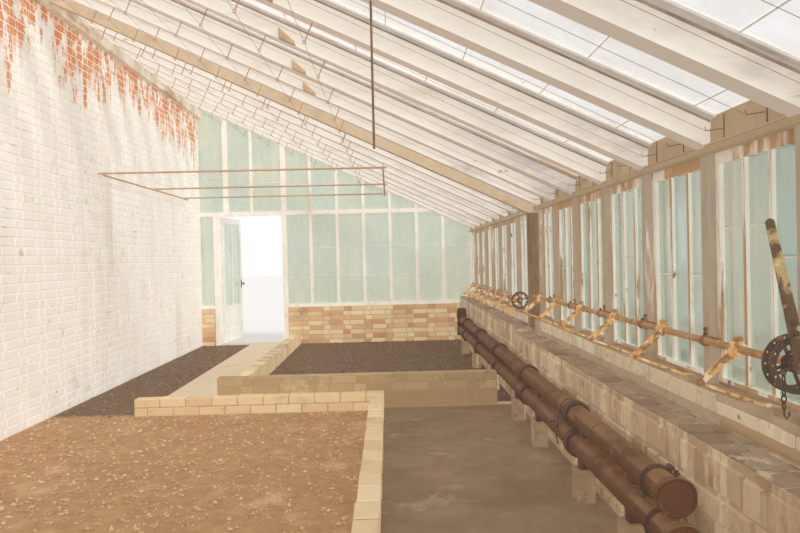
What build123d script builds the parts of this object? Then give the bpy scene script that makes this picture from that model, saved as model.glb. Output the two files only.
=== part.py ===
"""Lean-to vinery glasshouse: masonry, timber frame, glazing, one door, heating pipes and vent gear.

The house is drawn from the inner face of the back wall (x = 0) towards the glazed front (+X),
from the inner face of the near gable (y = 0) to the far gable (+Y), and from the ground (z = 0) up.
At the end every piece is moved so that the origin lies under the middle of the whole.
"""
import os
from math import cos, radians, sin, tan

from build123d import *

# Plan and heights of the house
WIDTH = 4350.0              # back wall face to the inner face of the front posts
NEAR_BAY = 690.0
NEAR_BAY_COUNT = 8
SHORT_BAY = 620.0
LAST_NEAR_BAY = 525.0
MAIN_GAP_NEAR = 200.0       # last near post to the main post, centre to centre
MAIN_GAP_FAR = 290.0        # main post to the first far post, centre to centre
FAR_BAY = 591.0
FAR_BAY_COUNT = 8
FLOOR_THICK = 50.0
PITCH = 25.0                # roof slope in degrees
PLATE_TOP = 1805.0          # rafters sit here on the head plate
WALL_ABOVE_ROOF = 330.0     # the back wall rises this far above the top of the rafters

# Masonry
BACK_WALL_THICK = 340.0
FRONT_WALL_INSET = 20.0     # front wall stands this far inside the posts
FRONT_WALL_THICK = 230.0
FRONT_WALL_TOP = 830.0      # the posts and the sill stand here, over the vent holes
DAMAGE_END_Y = 3261.0       # nearer than this the cream face has lost its top edge
DAMAGE_DEPTH = 28.0
ROLL_RADIUS = 21.0          # rendered roll along the foot of the cream course
ROLL_ABOVE_BENCH = 32.0
GABLE_WALL_THICK = 230.0
GABLE_WALL_TOP = 630.0
GABLE_WALL_INSET = 40.0     # gable brickwork stands this far inside the glazing
COPING_THICK = 70.0
COPING_OVERHANG = 45.0
GUTTER_RADIUS = 58.0
GUTTER_WALL = 6.0
GUTTER_DROP = 15.0          # gutter's centre under the top of the outer fascia
BENCH_WIDTH = 170.0
BENCH_TOP_NEAR = 680.0
BENCH_TOP_FAR = 730.0

# Timber sections
POST_WIDTH = 60.0
POST_DEPTH = 100.0
MAIN_POST_WIDTH = 80.0
MAIN_POST_DEPTH = 160.0
MAIN_RAFTER_DEPTH = 215.0
RAFTER_WIDTH = 100.0
RAFTER_DEPTH = 150.0
PLATE_THICK = 25.0
PLATE_PROUD = 15.0
FASCIA_SETBACK = 10.0
FASCIA_THICK = 25.0
OUTER_FASCIA_THICK = 20.0
OUTER_FASCIA_DROP = 35.0
WALL_PLATE_WIDTH = 75.0
WALL_PLATE_DEPTH = 110.0
SILL_THICK = 12.0
SILL_NOSE = 60.0            # outer sill beyond the front wall's posts
SASH_SETBACK = 35.0
SASH_THICK = 40.0
SASH_STILE = 34.0
SASH_TOP_RAIL = 48.0
SASH_BOTTOM_RAIL = 16.0

# Glass and lead
GLASS_THICK = 6.0
GLASS_BELOW_RAFTER_TOP = 30.0
GLASS_EAVES_LAP = 40.0      # roof glass runs this far past the rafter feet
LEAD_THICK = 8.0
LEAD_UPSTAND = 130.0
LEAD_APRON = 190.0

# Gables, measured along x from the back wall
DOOR_LEFT = 281.0
DOOR_RIGHT = 1311.0
DOOR_POST = 80.0
SIDE_POST = 70.0
UPPER_POST_OFFSET = 144.0   # the thick upright over the door, from the opening's left side
MULLION_WIDTH = 42.0
MULLION_PITCH = 427.0
GABLE_FRAME_THICK = 75.0
GABLE_RAFTER_DEPTH = 110.0
TRANSOM_BOTTOM = 2120.0
TRANSOM_THICK = 65.0
GABLE_SILL_THICK = 55.0

# Door
DOOR_GAP = 6.0
DOOR_FOOT_CLEAR = 10.0
DOOR_THICK = 44.0
DOOR_STILE = 95.0
DOOR_TOP_RAIL = 95.0
DOOR_LOCK_RAIL_TOP = 660.0
DOOR_LOCK_RAIL = 150.0
DOOR_BOTTOM_RAIL = 200.0
DOOR_PANEL_THICK = 16.0
DOOR_BAR = 28.0
DOOR_BAR_INSET = 6.0        # the glazing bar stands back from both faces
DOOR_OPEN_ANGLE = 85.0
STOP_WIDTH = 18.0           # bead in the frame that the shut door rests on
HINGE_RADIUS = 9.0
HINGE_LENGTH = 110.0
HINGE_OFFSET = 12.0         # hinge axis beyond the outer face of the frame
HINGE_LOW = 350.0
HINGE_BELOW_TRANSOM = 250.0
STRAP_LENGTH = 330.0
STRAP_HALF = 20.0
STRAP_THICK = 5.0
PINTLE_RADIUS = 5.0
PINTLE_CLEAR = 0.05
PINTLE_SEAT = 0.3           # play between a knuckle and the bracket under it
PINTLE_BRACKET = 24.0

# Floor and kerbs
KERB_WIDTH = 110.0
PATH_LEFT = 774.0
DOOR_KERB_X = 1474.0
SIDE_PATH_WIDTH = 1206.0
KERB_BEFORE_MAIN = 174.0    # the low kerb starts this far on the near side of the main frame
LOW_KERB_TOP = 195.0
HIGH_KERB_TOP = 345.0
DOOR_KERB_TOP = 225.0
GRAVEL_THICK = 42.0
BED_GAP = 0.5               # loose gravel and gable brickwork stop this far from their neighbours
KERB_PIPE_CLEAR = 20.0      # the high kerb ends this far from the lower pipe

# Heating pipes
PIPE_RADIUS = 57.0
UPPER_PIPE_CLEAR = 86.0     # pipe centres from the face of the bench wall
LOWER_PIPE_CLEAR = 110.0
UPPER_PIPE_Z = 469.0
LOWER_PIPE_Z = 336.0
UPPER_PIPE_START_Y = 3101.0
PIPE_STAGGER = 110.0        # the lower pipe and its couplings start this far nearer
PIPE_FAR_CLEAR = 1303.0     # pipes end this far from the far gable wall
COUPLING_RADIUS = 73.0
COUPLING_LENGTH = 58.0
COUPLING_PITCH = 1370.0
CAP_RADIUS = 77.0
CAP_LENGTH = 52.0
CAP_RING = 14.0
CAP_BORE = 63.0
CAP_RECESS = 9.0
CLAMP_RADIUS = 68.0
CLAMP_LENGTH = 22.0
CLAMP_PAST_CAP = 190.0
EAR_REACH = 88.0
EAR_WIDTH = 18.0
EAR_ANGLES = [45.0, 220.0]
COUPLING_END_CLEAR = 120.0  # no coupling stands nearer than this to the pipe's end
END_BOX_RADIUS = 68.0       # upright cast box that joins the far ends of both pipes
END_BOX_TOP = 640.0
END_BOX_FOOT = 255.0
END_BOX_BEVEL = 26.0
END_SOCKET = 30.0           # its sockets reach this far from its side to the pipes' ends
END_SOCKET_RADIUS = 64.0
STAND_PLACES = [430.0, 1190.0, 2300.0, 3090.0, 4440.0, 5810.0, 7040.0]
STAND_WIDTH = 96.0
STAND_LENGTH = 112.0
STAND_TOP = 225.0
SADDLE_WIDTH = 44.0
SADDLE_LENGTH = 60.0
SADDLE_SEAT = 0.3

# Ventilator gear
SHAFT_INSET = 65.0          # shaft centre from the inner face of the posts
SHAFT_Z = 1022.0
SHAFT_RADIUS = 14.0
BORE_CLEAR = 0.05
SHAFT_START_Y = 1450.0
SHAFT_END_PAST_POST = 465.0 # the near shaft runs this far past the last post but one
LEVER_LENGTH = 184.0
LEVER_ANGLE = 220.0
LEVER_BEFORE_MID = 48.0     # levers stand this far on the near side of mid bay
LEVER_ROOT = 31.0
LEVER_TIP = 25.0
LEVER_THICK = 9.0
HUB_RADIUS = 26.0
HUB_LENGTH = 48.0
ROUND_SIDES = 20            # sides drawn on pipes, rings and wheel rims
ROD_SIDES = 12              # sides drawn on thin rods and on the bores of hubs and collars
FAR_SHAFT_INSET = 76.0
FAR_SHAFT_Z = 950.0
FAR_SHAFT_PAST_MAIN = 465.0
FAR_SHAFT_LENGTH = 3820.0
FAR_SHAFT_LEAD = 160.0      # shaft before the first lever's bay, where its wheel sits
LINK_HALF = 6.0
LINK_BEND_PAST_POST = 22.0
VENT_HALF = 112.0           # half the length of one vent hole under the sill
VENT_HOLE_HEIGHT = 26.0
VENT_BOARD_THICK = 25.0
VENT_BOARD_DROP = 15.0
BEARING_RADIUS = 21.0
BEARING_LENGTH = 24.0
BEARING_BEFORE_POST = 130.0
BRACKET_THICK = 6.0
BRACKET_WIDTH = 24.0
BRACKET_HEIGHT = 80.0
WHEEL_BEFORE_POST = 59.0
WHEEL_BAY_COUNT = 4         # whole bays on the near side of the post behind the near wheel
FAR_WHEEL_PAST_MAIN = 360.0
WHEEL_RADIUS = 92.0
FAR_WHEEL_RADIUS = 84.0
WHEEL_RIM = 21.0
FLANGE_THICK = 6.0
FLANGE_SPREAD = 45.0        # between the middles of the wheel's two rings
WHEEL_HUB = 27.0
SPOKE_WIDTH = 16.0
ARM_RISE = 438.0            # the hand lever's top end above the shaft
ARM_LEAN = 92.0
ARM_ROOT = 44.0
ARM_TOP = 26.0
ARM_THICK = 8.0
ARM_BEFORE_WHEEL = 40.0

# Hanging rails and the loose rod
RAIL_RADIUS = 10.0
RAIL_Z = 2340.0
RAIL_LEFT = 70.0
RAIL_INSET = 1360.0         # right rail from the inner face of the posts
RAIL_END = 40.0
RAIL_BARS_PAST_MAIN = [1085.0, 2735.0, 4085.0]
HANGER_RADIUS = 5.0
HANGER_BURY = 20.0          # rods start this far up inside the rafter's outline
ROD_INSET = 1370.0
ROD_BOTTOM = 1834.0

COS = cos(radians(PITCH))
TAN = tan(radians(PITCH))
RAFTER_DROP = RAFTER_DEPTH / COS
NEAR_BAYS = [NEAR_BAY] * NEAR_BAY_COUNT + [SHORT_BAY, LAST_NEAR_BAY]
FAR_BAYS = [FAR_BAY] * FAR_BAY_COUNT
MAIN_Y = sum(NEAR_BAYS) + MAIN_GAP_NEAR
LENGTH = MAIN_Y + MAIN_GAP_FAR + sum(FAR_BAYS)
FRONT_OUT = WIDTH + POST_DEPTH
HOUSE_WALL_TOP = PLATE_TOP + WIDTH * TAN + RAFTER_DROP + WALL_ABOVE_ROOF
WALL_INNER = WIDTH - FRONT_WALL_INSET
WALL_OUTER = WALL_INNER + FRONT_WALL_THICK
CREAM_TOP = FRONT_WALL_TOP - VENT_HOLE_HEIGHT
BENCH_FACE = WALL_INNER - BENCH_WIDTH
LOW_KERB_Y = MAIN_Y - KERB_BEFORE_MAIN
LONG_KERB_X = BENCH_FACE - SIDE_PATH_WIDTH - KERB_WIDTH
UPPER_PIPE_X = BENCH_FACE - UPPER_PIPE_CLEAR
LOWER_PIPE_X = BENCH_FACE - LOWER_PIPE_CLEAR
PIPE_END_Y = LENGTH - GABLE_WALL_INSET - PIPE_FAR_CLEAR
SHAFT_X = WIDTH - SHAFT_INSET
FAR_SHAFT_X = WIDTH - FAR_SHAFT_INSET
FAR_SHAFT_START_Y = MAIN_Y + FAR_SHAFT_PAST_MAIN
FAR_SHAFT_END_Y = FAR_SHAFT_START_Y + FAR_SHAFT_LENGTH
RAIL_RIGHT = WIDTH - RAIL_INSET
ROD_X = WIDTH - ROD_INSET


def block(x0, x1, y0, y1, z0, z1):
    """A straight block between two corners."""
    middle = Pos((x0 + x1) / 2, (y0 + y1) / 2, (z0 + z1) / 2)
    return middle * Box(x1 - x0, y1 - y0, z1 - z0)


def prism(points, y0, y1):
    """A profile drawn in x and z, run along y."""
    outline = Polyline(*[(x, y0, z) for x, z in points], close=True)
    return extrude(make_face(outline), amount=y1 - y0, dir=(0, 1, 0))


def rod(start, end, radius, sides=0):
    """A bar from one point to another, round or with a number of sides inside that round."""
    direction = Vector(*end) - Vector(*start)
    plane = Plane(origin=start, z_dir=direction)
    outline = RegularPolygon(radius, sides) if sides else Circle(radius)
    return extrude(plane * outline, amount=direction.length)


def rafter_under(x):
    return PLATE_TOP + (WIDTH - x) * TAN


def rafter_top(x):
    return rafter_under(x) + RAFTER_DROP


def glass_under(x):
    return rafter_top(x) - (GLASS_BELOW_RAFTER_TOP + GLASS_THICK) / COS


def running(starts, steps):
    """Centre lines of the posts from the spacings between them."""
    places = [starts]
    for step in steps:
        places.append(places[-1] + step)
    return places


near_lines = running(0.0, NEAR_BAYS)
far_lines = running(MAIN_Y + MAIN_GAP_FAR, FAR_BAYS)
post_lines = near_lines[1:] + far_lines[:-1]
parts = {}


def bays():
    """Clear spaces between neighbouring uprights of the front."""
    uprights = [(y, POST_WIDTH) for y in post_lines] + [(MAIN_Y, MAIN_POST_WIDTH)]
    uprights.sort()
    low = 0.0
    pairs = []
    for y, width in uprights:
        pairs.append((low, y - width / 2))
        low = y + width / 2
    pairs.append((low, LENGTH))
    return pairs


def vent_gaps():
    """Both ends of every vent hole, kept clear of the posts."""
    gaps = []
    for y in vent_lines():
        low, high = next(pair for pair in bays() if pair[0] <= y <= pair[1])
        gaps.append((max(y - VENT_HALF, low), min(y + VENT_HALF, high)))
    return gaps


def octagon(flat):
    """Eight-sided outline, flat to flat distance given as half."""
    return RegularPolygon(flat, 8, major_radius=False)


def masonry():
    wall_start = -GABLE_WALL_THICK + GABLE_WALL_INSET
    wall_end = LENGTH + GABLE_WALL_THICK - GABLE_WALL_INSET
    parts["back_wall"] = block(-BACK_WALL_THICK, 0, wall_start, wall_end, 0, HOUSE_WALL_TOP)
    parts["back_wall_coping"] = block(
        -BACK_WALL_THICK - COPING_OVERHANG, COPING_OVERHANG,
        wall_start, wall_end, HOUSE_WALL_TOP, HOUSE_WALL_TOP + COPING_THICK)
    inner = WALL_INNER
    bench_start = GABLE_WALL_INSET + BED_GAP
    bench_end = LENGTH - GABLE_WALL_INSET - BED_GAP
    wall = block(inner, WALL_OUTER, wall_start, wall_end, 0, CREAM_TOP)
    parts["front_wall"] = wall - block(inner - 1, WIDTH, wall_start - 1, DAMAGE_END_Y,
                                       CREAM_TOP - DAMAGE_DEPTH, CREAM_TOP + 1)
    edges = [wall_start]
    for gap in vent_gaps():
        edges += gap
    edges.append(wall_end)
    parts["front_wall_course"] = Compound(children=[
        block(WIDTH, WALL_OUTER, y0, y1, CREAM_TOP, FRONT_WALL_TOP)
        for y0, y1 in zip(edges[::2], edges[1::2])])
    roll_z = BENCH_TOP_NEAR + ROLL_ABOVE_BENCH
    roll = rod((inner, bench_start, roll_z), (inner, DAMAGE_END_Y, roll_z), ROLL_RADIUS)
    parts["wall_roll"] = roll - parts["front_wall"]
    parts["ventilators"] = Compound(children=[
        block(WALL_OUTER, WALL_OUTER + VENT_BOARD_THICK, y - 1.25 * VENT_HALF,
              y + 1.25 * VENT_HALF, CREAM_TOP - VENT_BOARD_DROP, FRONT_WALL_TOP)
        for y in vent_lines()])
    bench_inner = BENCH_FACE
    near_bench = block(bench_inner, inner, bench_start, MAIN_Y, 0, BENCH_TOP_NEAR)
    far_bench = block(bench_inner, inner, MAIN_Y, bench_end, 0, BENCH_TOP_FAR)
    parts["pipe_bench"] = near_bench + far_bench
    for name, y0, y1 in (("near_gable", wall_start, GABLE_WALL_INSET),
                         ("far_gable", LENGTH - GABLE_WALL_INSET, wall_end)):
        left = block(BED_GAP, DOOR_LEFT - SIDE_POST - BED_GAP, y0, y1, 0, GABLE_WALL_TOP - BED_GAP)
        right = block(DOOR_RIGHT + DOOR_POST + BED_GAP, inner - BED_GAP, y0, y1,
                      0, GABLE_WALL_TOP - BED_GAP)
        parts[f"{name}_walls"] = Compound(children=[left, right])


def floor_and_kerbs():
    bench_inner = BENCH_FACE
    start = GABLE_WALL_INSET + BED_GAP
    end = LENGTH - GABLE_WALL_INSET - BED_GAP
    low_far = LOW_KERB_Y + KERB_WIDTH
    high_far = low_far + KERB_WIDTH
    long_right = LONG_KERB_X + KERB_WIDTH
    parts["low_kerb"] = block(PATH_LEFT, long_right, LOW_KERB_Y, low_far, 0, LOW_KERB_TOP)
    parts["long_kerb"] = block(LONG_KERB_X, long_right, start, LOW_KERB_Y, 0, LOW_KERB_TOP)
    kerb_left = DOOR_KERB_X
    kerb_end = LOWER_PIPE_X - PIPE_RADIUS - KERB_PIPE_CLEAR
    parts["high_kerb"] = block(kerb_left, kerb_end, low_far, high_far, 0, HIGH_KERB_TOP)
    parts["door_kerb"] = block(kerb_left, kerb_left + KERB_WIDTH, high_far, end, 0, DOOR_KERB_TOP)
    door_path = block(PATH_LEFT, kerb_left, low_far, end, 0, FLOOR_THICK)
    side_path = block(long_right, bench_inner, start, low_far, 0, FLOOR_THICK)
    pipe_slab = block(kerb_end + BED_GAP, bench_inner, low_far + BED_GAP, high_far, 0, FLOOR_THICK)
    parts["path_slabs"] = Compound(children=[door_path, side_path, pipe_slab])
    wall_depth = GABLE_WALL_THICK
    parts["thresholds"] = Compound(children=[
        block(DOOR_LEFT, DOOR_RIGHT + DOOR_POST, y0, y0 + wall_depth, 0, FLOOR_THICK)
        for y0 in (start - BED_GAP - wall_depth, end + BED_GAP)])
    gap = BED_GAP
    near_bed = block(gap, LONG_KERB_X - gap, start, LOW_KERB_Y - gap, 0, GRAVEL_THICK)
    border = block(gap, PATH_LEFT - gap, LOW_KERB_Y, end, 0, GRAVEL_THICK)
    far_bed = block(kerb_left + KERB_WIDTH + gap, bench_inner - gap, high_far + gap, end,
                    0, GRAVEL_THICK)
    parts["gravel_beds"] = Compound(children=[near_bed, border, far_bed])


def rafter(y, width, points=None):
    outline = points or [
        (0, rafter_under(0)), (WIDTH, PLATE_TOP), (FRONT_OUT, PLATE_TOP),
        (FRONT_OUT, rafter_top(FRONT_OUT)), (0, rafter_top(0))]
    return prism(outline, y - width / 2, y + width / 2)


def timber_frame():
    posts = []
    for y in post_lines:
        posts.append(block(WIDTH, FRONT_OUT, y - POST_WIDTH / 2, y + POST_WIDTH / 2,
                           FRONT_WALL_TOP, PLATE_TOP - PLATE_THICK))
    parts["front_posts"] = Compound(children=posts)
    parts["rafters"] = Compound(children=[rafter(y, RAFTER_WIDTH) for y in post_lines])

    main_inner = FRONT_OUT - MAIN_POST_DEPTH
    half = MAIN_POST_WIDTH / 2
    main_under = rafter_top(0) - MAIN_RAFTER_DEPTH / COS

    def main_line(x):
        return main_under - x * TAN

    post = block(main_inner, FRONT_OUT, MAIN_Y - half, MAIN_Y + half,
                 FRONT_WALL_TOP, main_line(main_inner))
    foot = block(main_inner, WALL_INNER, MAIN_Y - half, MAIN_Y + half, BENCH_TOP_FAR, CREAM_TOP)
    foot += block(main_inner, WIDTH, MAIN_Y - half, MAIN_Y + half, CREAM_TOP, FRONT_WALL_TOP)
    parts["main_post"] = post + foot
    parts["main_rafter"] = rafter(MAIN_Y, MAIN_POST_WIDTH, [
        (0, main_under), (main_inner, main_line(main_inner)), (FRONT_OUT, main_line(main_inner)),
        (FRONT_OUT, rafter_top(FRONT_OUT)), (0, rafter_top(0))])

    plate_y = [(0, MAIN_Y - half), (MAIN_Y + half, LENGTH)]
    parts["head_plate"] = Compound(children=[
        block(WIDTH - PLATE_PROUD, FRONT_OUT, y0, y1, PLATE_TOP - PLATE_THICK, PLATE_TOP)
        for y0, y1 in plate_y])
    plate_foot = rafter_under(WALL_PLATE_WIDTH) - WALL_PLATE_DEPTH
    parts["wall_plate"] = Compound(children=[prism([
        (0, rafter_under(0)), (WALL_PLATE_WIDTH, rafter_under(WALL_PLATE_WIDTH)),
        (WALL_PLATE_WIDTH, plate_foot), (0, plate_foot)], y0, y1)
        for y0, y1 in ((0, MAIN_Y - half), (MAIN_Y + half, LENGTH))])


def rafter_bays():
    """Clear spaces between neighbouring rafters, the main rafter counted as one."""
    lines = [(y, RAFTER_WIDTH) for y in post_lines] + [(MAIN_Y, MAIN_POST_WIDTH)]
    lines.sort()
    low = 0.0
    pairs = []
    for y, width in lines:
        pairs.append((low, y - width / 2))
        low = y + width / 2
    pairs.append((low, LENGTH))
    return pairs


def roof_glazing():
    fascia_x = WIDTH + FASCIA_SETBACK
    glass_edge = FRONT_OUT + GLASS_EAVES_LAP
    fascias, panes = [], []
    for y0, y1 in rafter_bays():
        fascias.append(prism([
            (fascia_x, PLATE_TOP), (fascia_x + FASCIA_THICK, PLATE_TOP),
            (fascia_x + FASCIA_THICK, glass_under(fascia_x + FASCIA_THICK)),
            (fascia_x, glass_under(fascia_x))], y0, y1))
        panes.append(prism([
            (0, glass_under(0)), (glass_edge, glass_under(glass_edge)),
            (glass_edge, glass_under(glass_edge) + GLASS_THICK / COS),
            (0, glass_under(0) + GLASS_THICK / COS)], y0, y1))
    parts["fascia_boards"] = Compound(children=fascias)
    parts["roof_glass"] = Compound(children=panes)
    top = rafter_top(0)
    parts["top_flashing"] = prism([
        (0, top), (LEAD_APRON, rafter_top(LEAD_APRON)),
        (LEAD_APRON, rafter_top(LEAD_APRON) + LEAD_THICK),
        (LEAD_THICK, rafter_top(LEAD_THICK) + LEAD_THICK),
        (LEAD_THICK, top + LEAD_UPSTAND), (0, top + LEAD_UPSTAND)],
        -GABLE_FRAME_THICK, LENGTH + GABLE_FRAME_THICK)


def eaves():
    board_top = glass_under(FRONT_OUT + OUTER_FASCIA_THICK)
    parts["outer_fascia"] = block(
        FRONT_OUT, FRONT_OUT + OUTER_FASCIA_THICK, -GABLE_FRAME_THICK, LENGTH + GABLE_FRAME_THICK,
        PLATE_TOP - PLATE_THICK - OUTER_FASCIA_DROP, board_top)
    radius = GUTTER_RADIUS
    centre = (FRONT_OUT + OUTER_FASCIA_THICK + radius, board_top - GUTTER_DROP)
    ring = Plane.XZ * Pos(*centre) * (Circle(radius) - Circle(radius - GUTTER_WALL))
    below = Plane.XZ * Pos(centre[0], centre[1] - radius) * Rectangle(2.2 * radius, 2 * radius)
    trough = extrude(ring & below, amount=LENGTH + 2 * GABLE_FRAME_THICK, dir=(0, 1, 0))
    parts["gutter"] = Pos(0, -GABLE_FRAME_THICK, 0) * trough


def front_glazing():
    inner_sill = WIDTH + SASH_SETBACK
    outer = WALL_OUTER + SILL_NOSE
    sill = block(FRONT_OUT, outer, -GABLE_FRAME_THICK, LENGTH + GABLE_FRAME_THICK,
                 FRONT_WALL_TOP, FRONT_WALL_TOP + SILL_THICK)
    frames, panes = [], []
    x0 = WIDTH + SASH_SETBACK
    x1 = x0 + SASH_THICK
    z0 = FRONT_WALL_TOP + SILL_THICK
    z1 = PLATE_TOP - PLATE_THICK
    glass_x = (x0 + x1) / 2
    for y0, y1 in bays():
        sill += block(inner_sill, FRONT_OUT, y0, y1, FRONT_WALL_TOP, FRONT_WALL_TOP + SILL_THICK)
        opening = (y0 + SASH_STILE, y1 - SASH_STILE, z0 + SASH_BOTTOM_RAIL, z1 - SASH_TOP_RAIL)
        frames.append(block(x0, x1, y0, y1, z0, z1) - block(x0 - 1, x1 + 1, *opening))
        panes.append(block(glass_x - GLASS_THICK / 2, glass_x + GLASS_THICK / 2, *opening))
    parts["front_sill"] = sill
    parts["front_sashes"] = Compound(children=frames)
    parts["front_glass"] = Compound(children=panes)


def sloped_post(x0, x1, z0, y0, y1):
    """An upright from a level foot to the underside of the gable rafter."""
    return prism([(x0, z0), (x1, z0), (x1, gable_under(x1)), (x0, gable_under(x0))], y0, y1)


def gable_under(x):
    return rafter_top(x) - GABLE_RAFTER_DEPTH / COS


def mullion_lines():
    lines = []
    x = DOOR_RIGHT + DOOR_POST / 2 + MULLION_PITCH
    while x < WIDTH - MULLION_PITCH / 2:
        lines.append(x)
        x += MULLION_PITCH
    return lines


def gable(y0, y1):
    """Timber and glass of one gable, between its inner and outer faces."""
    sill_top = GABLE_WALL_TOP + GABLE_SILL_THICK
    transom_top = TRANSOM_BOTTOM + TRANSOM_THICK
    transom_end = WIDTH - (TRANSOM_BOTTOM - gable_under(WIDTH)) / TAN
    half = MULLION_WIDTH / 2
    mid_y = (y0 + y1) / 2
    pane_y = (mid_y - GLASS_THICK / 2, mid_y + GLASS_THICK / 2)
    top = prism([(0, gable_under(0)), (FRONT_OUT, gable_under(FRONT_OUT)),
                 (FRONT_OUT, rafter_top(FRONT_OUT)), (0, rafter_top(0))], y0, y1)
    transom = prism([(0, TRANSOM_BOTTOM), (transom_end, TRANSOM_BOTTOM),
                     (transom_end - TRANSOM_THICK / TAN, transom_top), (0, transom_top)], y0, y1)
    upper = top + transom
    door_mid = (DOOR_LEFT + DOOR_RIGHT) / 2
    upper_lines = [(DOOR_LEFT + UPPER_POST_OFFSET, DOOR_POST), (door_mid + DOOR_POST / 2, MULLION_WIDTH),
                   (DOOR_RIGHT + DOOR_POST / 2, DOOR_POST)]
    lower_lines = mullion_lines()
    upper_lines += [(x, MULLION_WIDTH) for x in lower_lines if x + half < transom_end]
    for x, width in upper_lines:
        if gable_under(x + width / 2) > transom_top:
            upper += sloped_post(x - width / 2, x + width / 2, transom_top, y0, y1)
    sill = block(DOOR_RIGHT + DOOR_POST, WIDTH, y0, y1, GABLE_WALL_TOP, sill_top)
    corner = sloped_post(WIDTH, FRONT_OUT, FRONT_WALL_TOP, y0, y1)
    corner += block(WIDTH, FRONT_OUT, y0, y1, FRONT_WALL_TOP, gable_under(FRONT_OUT))
    lower = sill + block(DOOR_RIGHT, DOOR_RIGHT + DOOR_POST, y0, y1, FLOOR_THICK, TRANSOM_BOTTOM)
    for x in lower_lines:
        if x + half < transom_end:
            lower += block(x - half, x + half, y0, y1, sill_top, TRANSOM_BOTTOM)
        else:
            lower += sloped_post(x - half, x + half, sill_top, y0, y1)
    jamb = block(DOOR_LEFT - SIDE_POST, DOOR_LEFT, y0, y1, 0, TRANSOM_BOTTOM)
    jamb += block(0, DOOR_LEFT - SIDE_POST, y0, y1, GABLE_WALL_TOP, sill_top)
    upper_glass = prism([(0, transom_top), (transom_end - TRANSOM_THICK / TAN, transom_top),
                         (0, gable_under(0))], *pane_y) - upper
    wall_end = block(WIDTH - FRONT_WALL_INSET - BED_GAP, FRONT_OUT, y0 - 1, y1 + 1,
                     0, FRONT_WALL_TOP)
    lower -= wall_end
    lower_glass = prism([
        (DOOR_RIGHT + DOOR_POST, sill_top), (WIDTH, sill_top), (WIDTH, gable_under(WIDTH)),
        (transom_end, TRANSOM_BOTTOM), (DOOR_RIGHT + DOOR_POST, TRANSOM_BOTTOM)], *pane_y)
    lower_glass -= lower + wall_end
    side_glass = block(0, DOOR_LEFT - SIDE_POST, *pane_y, sill_top, TRANSOM_BOTTOM)
    return {"upper_frame": upper, "lower_frame": lower, "corner": corner, "side_jamb": jamb,
            "upper_glass": upper_glass, "lower_glass": lower_glass, "side_glass": side_glass}


def door_leaf(outer_y):
    """Closed leaf and its glass: glazed above, panelled below, flush with the frame outside."""
    x0 = DOOR_LEFT + DOOR_GAP
    x1 = DOOR_RIGHT - DOOR_GAP
    y0 = outer_y - DOOR_THICK
    z0 = FLOOR_THICK + DOOR_FOOT_CLEAR
    z1 = TRANSOM_BOTTOM - DOOR_GAP
    light = (x0 + DOOR_STILE, x1 - DOOR_STILE, y0 - 1, outer_y + 1,
             DOOR_LOCK_RAIL_TOP, z1 - DOOR_TOP_RAIL)
    panel_top = DOOR_LOCK_RAIL_TOP - DOOR_LOCK_RAIL
    panel = (x0 + DOOR_STILE, x1 - DOOR_STILE, z0 + DOOR_BOTTOM_RAIL, panel_top)
    mid_y = (y0 + outer_y) / 2
    leaf = block(x0, x1, y0, outer_y, z0, z1) - block(*light)
    leaf -= block(panel[0], panel[1], y0 - 1, mid_y - DOOR_PANEL_THICK / 2, panel[2], panel[3])
    leaf -= block(panel[0], panel[1], mid_y + DOOR_PANEL_THICK / 2, outer_y + 1, panel[2], panel[3])
    mid_x = (x0 + x1) / 2
    leaf += block(mid_x - DOOR_BAR / 2, mid_x + DOOR_BAR / 2, y0 + DOOR_BAR_INSET,
                  outer_y - DOOR_BAR_INSET, light[4], light[5])
    panes = [block(a, b, mid_y - GLASS_THICK / 2, mid_y + GLASS_THICK / 2, light[4], light[5])
             for a, b in ((light[0], mid_x - DOOR_BAR / 2), (mid_x + DOOR_BAR / 2, light[1]))]
    return leaf, Compound(children=panes)


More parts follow.
